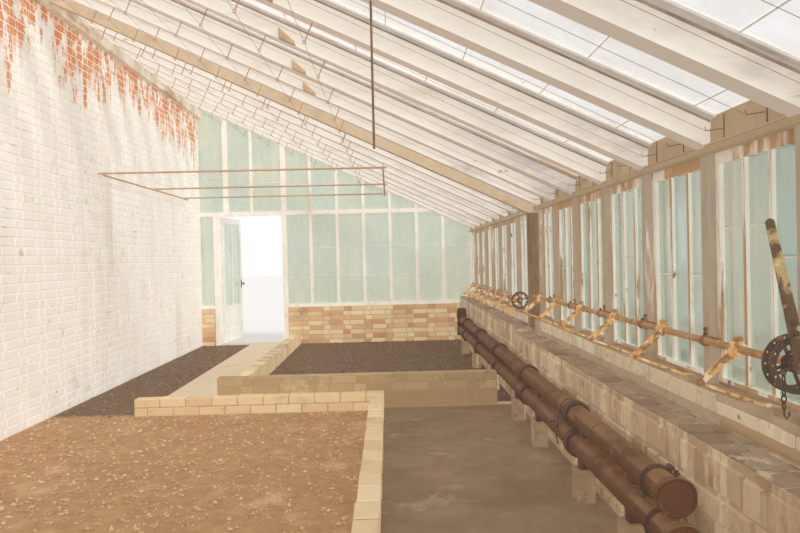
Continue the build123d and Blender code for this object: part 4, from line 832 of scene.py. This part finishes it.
# Mouldings and knobs of both doors; the far one is drawn shut, then turned to stand open
HINGE = Vector((0.281, LENGTH + 0.087, 0.0))
OPEN = Matrix.Translation(HINGE) @ Matrix.Rotation(math.radians(85.0), 4, "Z") @ Matrix.Translation(-HINGE)
LEAF, KNOB = 0.044, (1.248, 1.0)
PANEL = ((0.389, 0.267), (1.203, 0.267), (1.203, 0.503), (0.389, 0.503))
for name, face_y, body in (("near", 0.0, "house"), ("far", LENGTH + 0.075, "door")):
    trim, metal = Shape(), Shape()
    for y in (face_y - LEAF + 0.005, face_y - 0.005):
        for (xa, za), (xb, zb) in zip(PANEL, PANEL[1:] + PANEL[:1]):
            trim.bar((xa, y, za), (xb, y, zb), 0.010, 0.014)
    for y, s in ((face_y - LEAF, -1), (face_y, 1)):
        metal.box(1.225, 1.27, min(y, y + s * 0.004), max(y, y + s * 0.004), 0.93, 1.07)
        metal.tube([(KNOB[0], y, KNOB[1]), (KNOB[0], y + s * 0.035, KNOB[1])], 0.007, 8)
        metal.tube([(KNOB[0], y + s * r, KNOB[1]) for r in (0.030, 0.036, 0.048, 0.055)],
                   [0.012, 0.022, 0.022, 0.010], 10)
    if body == "door":
        for shape in (trim, metal):
            shape.v = [OPEN @ p for p in shape.v]
    trim.make(name + "_door_moulding", "white_wood", "white_timber", body, bevel=0.002)
    metal.make(name + "_door_knob", "dark_iron", "rusty_iron", body)

# Ventilator gear
SHAFT = ((4.285, 1.022), (4.274, 0.950))
BEFORE_MID = 0.048
REACH, TILT = 0.184, math.radians(220)
LEVERS = [(0, y) for y in ((a + b) / 2 - BEFORE_MID for a, b in zip(NEAR, NEAR[1:])) if y > 1.546]
LEVERS += [(1, y) for y in ((a + b) / 2 - BEFORE_MID for a, b in zip(FAR, FAR[1:])) if 7.330 < y < 11.102]


def hexagon(shape, at, axis, radius, long):
    """Nut or bolt head from a point along an axis."""
    shape.tube([Vector(at), Vector(at) + Vector(axis) * long], radius, 6)


gear = Shape()
for k, y in LEVERS:
    x, z = SHAFT[k]
    gear.box(x - 0.006, x + 0.006, y - 0.013, y + 0.013, z + 0.022, z + 0.046, 0.001)
    hexagon(gear, (x + 0.006, y, z + 0.037), ACROSS, 0.009, 0.010)
    hexagon(gear, (x - 0.016, y, z + 0.037), ACROSS, 0.008, 0.010)
    px, pz = x + REACH * math.cos(TILT), z + REACH * math.sin(TILT)
    gear.tube([(px, y - 0.026, pz), (px, y + 0.014, pz)], 0.0065, 8)
    hexagon(gear, (px, y - 0.026, pz), ALONG, 0.011, 0.008)
    hexagon(gear, (px, y + 0.005, pz), ALONG, 0.011, 0.008)
gear.make("lever_bolts", "gear_rust", "rusty_iron")
plates = Shape()
PLATE_X = 4.344
for k, y in [(0, y) for y in NEAR[3:-1]] + [(1, y) for y in FAR[1:-1:2] if y < 11.150]:
    x, z = SHAFT[k]
    for dz in (-0.030, 0.030):
        hexagon(plates, (PLATE_X, y, z + dz), (-1, 0, 0), 0.007, 0.005)
    if k == 0:
        hexagon(plates, (x, y - 0.130, z + 0.019), UP, 0.007, 0.012)
plates.make("bracket_screws", "dark_iron", "rusty_iron")

# Chain wheels
WHEEL_Y, FAR_WHEEL_Y, ARM_Y = 2.701, 7.225, 2.661
RIM, SPOKES_AT = 0.021, (20, 110, 200, 290)


def flange(shape, cx, cz, y0, y1, outer, inner, holes):
    """Flat ring with bolt holes right through it."""
    mid = (outer + inner) / 2
    hole_r = (outer - inner) * 0.22
    half = math.pi / holes
    for h in range(holes):
        centre = 2 * math.pi * h / holes
        rim = [(outer, centre + half * f) for f in (-1, -0.5, 0, 0.5, 1)] + [(mid, centre + half)]
        rim += [(inner, centre + half * f) for f in (1, 0.5, 0, -0.5, -1)] + [(mid, centre - half)]
        out = [(cx + r * math.cos(a), cz + r * math.sin(a)) for r, a in rim]
        hx, hz = cx + mid * math.cos(centre), cz + mid * math.sin(centre)
        hole = []
        for px, pz in out:
            d = Vector((px - hx, pz - hz)).normalized() * hole_r
            hole.append((hx + d.x, hz + d.y))
        n = len(out)
        faces = []
        for i in range(n):
            j = (i + 1) % n
            faces += [(i, j, n + j, n + i), (2 * n + j, 2 * n + i, 3 * n + i, 3 * n + j),
                      (n + i, n + j, 3 * n + j, 3 * n + i)]
            if i not in (4, 5, 10, 11):
                faces.append((j, i, 2 * n + i, 2 * n + j))
        shape.add([(x, y, z) for y in (y0, y1) for x, z in out + hole], faces)


wheels = Shape()
for (cx, cz), cy, radius, offsets in ((SHAFT[0], WHEEL_Y, 0.092, (-0.0225, 0.0225)),
                                      (SHAFT[1], FAR_WHEEL_Y, 0.084, (0.0,))):
    for y in (cy + off for off in offsets):
        flange(wheels, cx, cz, y - 0.003, y + 0.003, radius, radius - RIM, 14)
        for a in (math.radians(turn) for turn in SPOKES_AT):
            hub, rim = ((cx + r * math.cos(a), y, cz + r * math.sin(a)) for r in (0.02, radius - 0.018))
            wheels.bar(hub, rim, 0.006, 0.010)
    half = max(offsets) + 0.006
    wheels.tube([(cx, cy + dy, cz) for dy in (-half - 0.004, -half + 0.004, half - 0.004, half + 0.004)],
                [0.024, 0.028, 0.028, 0.024], 16)
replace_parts(wheels.make("chain_wheel_rings", "dark_iron", "rusty_iron"), "chain_wheels")

# Chain over the near wheel, with its hook, and the hand lever's bolts
PITCH_LINE, LINK_WIRE = 0.036, 0.0026
cx, cz = SHAFT[0]
chain = Shape()


def link(shape, x, z, along, half, flat):
    """One oval link on the chain's line, wide along the house where it is flat, else across."""
    wide = Vector(ALONG) if flat else Vector((along.z, 0, -along.x))
    centre = Vector((x, WHEEL_Y, z))
    turns = (2 * math.pi * i / 10 for i in range(10))
    shape.tube([centre + wide * (0.0075 * math.cos(a)) + along * (half * math.sin(a)) for a in turns],
               LINK_WIRE, 5, closed=True)


for x, low in ((cx - PITCH_LINE, 0.885), (cx + PITCH_LINE, 0.925)):
    z, k = 1.02, 0
    while z > low:
        link(chain, x, z, Vector(UP), 0.014, k % 2 == 0)
        z -= 0.0215
        k += 1
for i in range(9):
    a = math.pi * i / 8
    link(chain, cx + PITCH_LINE * math.cos(a), cz + PITCH_LINE * math.sin(a),
         Vector((-math.sin(a), 0, math.cos(a))), 0.013, i % 2 == 0)
hook = ((4.249, 0.885), (4.249, 0.862), (4.258, 0.852), (4.266, 0.862), (4.264, 0.872))
chain.tube([(x, WHEEL_Y, z) for x, z in hook], 0.003, 6)
chain.make("wheel_chain", "dark_iron", "rusty_iron")
arm = Shape()
for dz in (0.10, 0.13):
    hexagon(arm, (cx - dz * 0.21, ARM_Y - 0.012, cz + dz), ALONG, 0.010, 0.022)
hexagon(arm, (cx, ARM_Y - 0.004, cz + 0.024), UP, 0.008, 0.014)
arm.make("hand_lever_bolts", "dark_iron", "rusty_iron")

# Heating pipes
UPPER, LOWER = (4.074, 0.469), (4.050, 0.336)
PIPE_END = LENGTH - 0.04 - 1.303
PIPE, PIPE_LONG, BAND_STEP = 0.057, 1.37, 0.457
CAP = [(0.009, 0.001), (0.009, 0.059), (0.006, 0.063), (0.001, 0.064), (0.0, 0.067), (0.0, 0.074),
       (0.003, 0.077), (0.012, 0.077), (0.015, 0.0735), (0.048, 0.073), (0.052, 0.069), (0.053, PIPE)]
STRAP_Y = 4.65


def hoop(shape, x, z, y, long, radius):
    """Round collar along a pipe, with its edges taken off."""
    edge = min(0.004, long / 3)
    shape.tube([(x, y, z), (x, y + edge, z), (x, y + long - edge, z), (x, y + long, z)],
               [radius - edge, radius, radius, radius - edge], 40)


pipes, joints, bands, bolts = Shape(), Shape(), Shape(), Shape()
for (x, z), start in ((UPPER, 3.101), (LOWER, 2.991)):
    pipes.turned(x, z, [(start + y, r) for y, r in CAP] + [(PIPE_END, PIPE)])
    for y in every(start + 0.47, PIPE_END - 0.1, BAND_STEP):
        lengths = (y - start) / PIPE_LONG
        if abs(lengths - round(lengths)) > 0.06:
            hoop(bands, x, z, y, 0.009, 0.0588)
    hoop(bands, x, z, start + 0.004, 0.008, 0.0775)
    hoop(bands, x, z, start + 0.026, 0.006, 0.0740)
    for y in every(start + PIPE_LONG, PIPE_END - 0.178, PIPE_LONG):
        hoop(joints, x, z, y, 0.058, 0.0725)
        hoop(joints, x, z, y - 0.002, 0.011, 0.0755)
        hoop(joints, x, z, y + 0.049, 0.011, 0.0755)
    clamp = start + 0.190
    for past in (0.0, 0.013):
        hoop(joints, x, z, clamp + past, 0.009, 0.0690)
    for a in (math.radians(45), math.radians(220)):
        inner, bolt, outer = ((x + r * math.cos(a), z + r * math.sin(a)) for r in (0.060, 0.079, 0.088))
        joints.bar((inner[0], clamp + 0.011, inner[1]), (outer[0], clamp + 0.011, outer[1]), 0.022, 0.018)
        bolts.tube([(bolt[0], clamp - 0.014, bolt[1]), (bolt[0], clamp + 0.036, bolt[1])], 0.005, 8)
        for past in (-0.012, 0.024):
            hexagon(bolts, (bolt[0], clamp + past, bolt[1]), ALONG, 0.0095, 0.010)
# Strap that ties both pipes together
hoop(joints, *UPPER, STRAP_Y - 0.012, 0.024, 0.0600)
joints.bar((4.014, STRAP_Y, 0.480), (3.990, STRAP_Y, 0.312), 0.022, 0.005)
joints.bar((3.990, STRAP_Y, 0.318), (4.000, STRAP_Y, 0.264), 0.022, 0.005)
hexagon(bolts, (3.991, STRAP_Y, 0.400), (-1, 0, 0), 0.010, 0.034)
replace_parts(pipes.make("heating_pipes", "pipe_rust", "rusty_iron", smooth=True), "upper_pipe", "lower_pipe")
joints.make("pipe_couplings", "cast_iron", "rusty_iron", smooth=True)
bands.make("pipe_bands", "band_rust", "rusty_iron", smooth=True)
# Air tap on the upper pipe's cap
TAP_Y = 3.112
bolts.tube([(4.074, TAP_Y, 0.544), (4.074, TAP_Y, 0.566)], 0.006, 8)
bolts.tube([(4.074, TAP_Y, 0.562), (4.074, TAP_Y, 0.570)], 0.009, 6)
bolts.tube([(4.060, TAP_Y, 0.556), (4.088, TAP_Y, 0.556)], 0.004, 6)
bolts.make("pipe_bolts", "dark_iron", "rusty_iron")

# Outside: gutter brackets, flashing seams, coping stones and ventilator hinges
brackets = Shape()
cx, cz = 4.528, glass_under(4.47) - 0.015
for y in every(0.3, LENGTH, 0.94):
    half = [(cx + 0.0605 * math.cos(a), y, cz + 0.0605 * math.sin(a))
            for a in (math.pi * (1 + i / 10) for i in range(11))]
    for p, q in zip(half, half[1:]):
        brackets.bar(p, q, 0.022, 0.004)
    brackets.box(4.469, 4.474, y - 0.011, y + 0.011, cz - 0.06, cz + 0.012)
brackets.make("gutter_brackets", "gutter_paint", "painted_iron")
seams = Shape()
for y in every(0.75, LENGTH, 1.5):
    seams.bar((0.012, y, top(0.012) + 0.010), (0.186, y, top(0.186) + 0.010), 0.016, 0.004)
    seams.box(0.007, 0.011, y - 0.008, y + 0.008, top(0) + 0.008, top(0) + 0.128)
seams.make("flashing_seams", "lead_sheet", "lead")
COPING_LONG, COPING_FOOT, COPING_HEAD = 0.61, 4.331, 4.399
cap = Shape()
for y in every(-0.186, LENGTH + 0.18, COPING_LONG):
    long = min(COPING_LONG, LENGTH + 0.187 - y) - 0.008
    cap.pad((-0.383, y, COPING_HEAD), ACROSS, UP, 0.426, long, 0.003, 0.004)
    for x, n in ((0.045, 1), (-0.385, -1)):
        cap.pad((x, y, COPING_FOOT), ALONG, (n, 0, 0), long, 0.066, 0.003, 0.004)
cap.make("coping_stones", "coping_stone", "concrete")
hinges = Shape()
for _, lever_y in LEVERS:
    for y in (lever_y - 0.08, lever_y + 0.08):
        hinges.box(4.585, 4.588, y - 0.012, y + 0.012, 0.795, 0.828)
        hinges.tube([(4.590, y - 0.016, 0.824), (4.590, y + 0.016, 0.824)], 0.004, 6)
hinges.make("ventilator_hinges", "dark_iron", "rusty_iron")

# Studio floor
HALF_FLOOR, BELOW = 60, -0.002
paving = bpy.data.meshes.new("studio_floor")
paving.from_pydata([(x * HALF_FLOOR, y * HALF_FLOOR, BELOW) for x, y in ((-1, -1), (1, -1), (1, 1), (-1, 1))],
                   [], [(0, 1, 2, 3)])
_, pale, _ = blank("studio_pale")
pale["Base Color"].default_value = (0.70, 0.69, 0.67, 1.0)
pale["Roughness"].default_value = 0.9
paving.materials.append(palette["studio_pale"])
ground = bpy.data.objects.new("studio_floor", paving)
bpy.context.scene.collection.objects.link(ground)

# Backdrop: the world lights the house at half strength and is seen and reflected at full strength
LIT, SEEN = 0.5, 1.0
world = bpy.data.worlds.new("studio")
bpy.context.scene.world = world
world.use_nodes = True
nt = world.node_tree
backdrop = nt.nodes["Background"]
backdrop.inputs["Color"].default_value = (1.0, 1.0, 1.0, 1.0)
rays = nt.nodes.new("ShaderNodeLightPath").outputs
seen = rays["Is Camera Ray"]
for kind in ("Is Glossy Ray", "Is Transmission Ray"):
    seen = calc(nt, "MAXIMUM", seen, rays[kind])
nt.links.new(calc(nt, "MULTIPLY_ADD", seen, SEEN - LIT, LIT), backdrop.inputs["Strength"])


def lamp(name, direction, energy, angle, color, shadow):
    """Distant lamp shining along a direction; the fills cast no shadow."""
    data = bpy.data.lights.new(name, "SUN")
    data.energy, data.angle, data.color, data.use_shadow = energy, math.radians(angle), color, shadow
    obj = bpy.data.objects.new(name, data)
    obj.rotation_euler = Vector(direction).to_track_quat("-Z", "Y").to_euler()
    bpy.context.scene.collection.objects.link(obj)


FILL = (1.0, 0.99, 0.97)
lamp("key", (-0.62, 0.52, -0.62), 1.55, 14.0, (1.0, 0.97, 0.92), True)
lamp("fill_across", (-0.62, 0.62, -0.48), 2.3, 60.0, FILL, False)
lamp("fill_back", (0.55, -0.75, -0.35), 1.0, 60.0, FILL, False)
lamp("fill_up", (0.1, 0.25, 0.95), 0.8, 60.0, FILL, False)

# Camera at the photograph's place and angle, with its focal length in pixels of an 800 pixel frame
FOCAL, FRAME = 700.8, 800.0
EYE = Vector((3.0304, 0.5437, 1.3794))
yaw, pitch, roll = math.radians(0.888), math.radians(-0.678), math.radians(-1.353)
lens = bpy.data.cameras.new("view")
lens.sensor_width, lens.lens, lens.clip_start = 36.0, 36.0 * FOCAL / FRAME, 0.05
camera = bpy.data.objects.new("view", lens)
turn = Matrix.Rotation(-yaw, 4, "Z") @ Matrix.Rotation(math.pi / 2 + pitch, 4, "X")
camera.matrix_world = Matrix.Translation(EYE + SHIFT) @ turn @ Matrix.Rotation(roll, 4, "Z")
bpy.context.scene.collection.objects.link(camera)
bpy.context.scene.camera = camera
bpy.context.scene.view_settings.view_transform = "Standard"
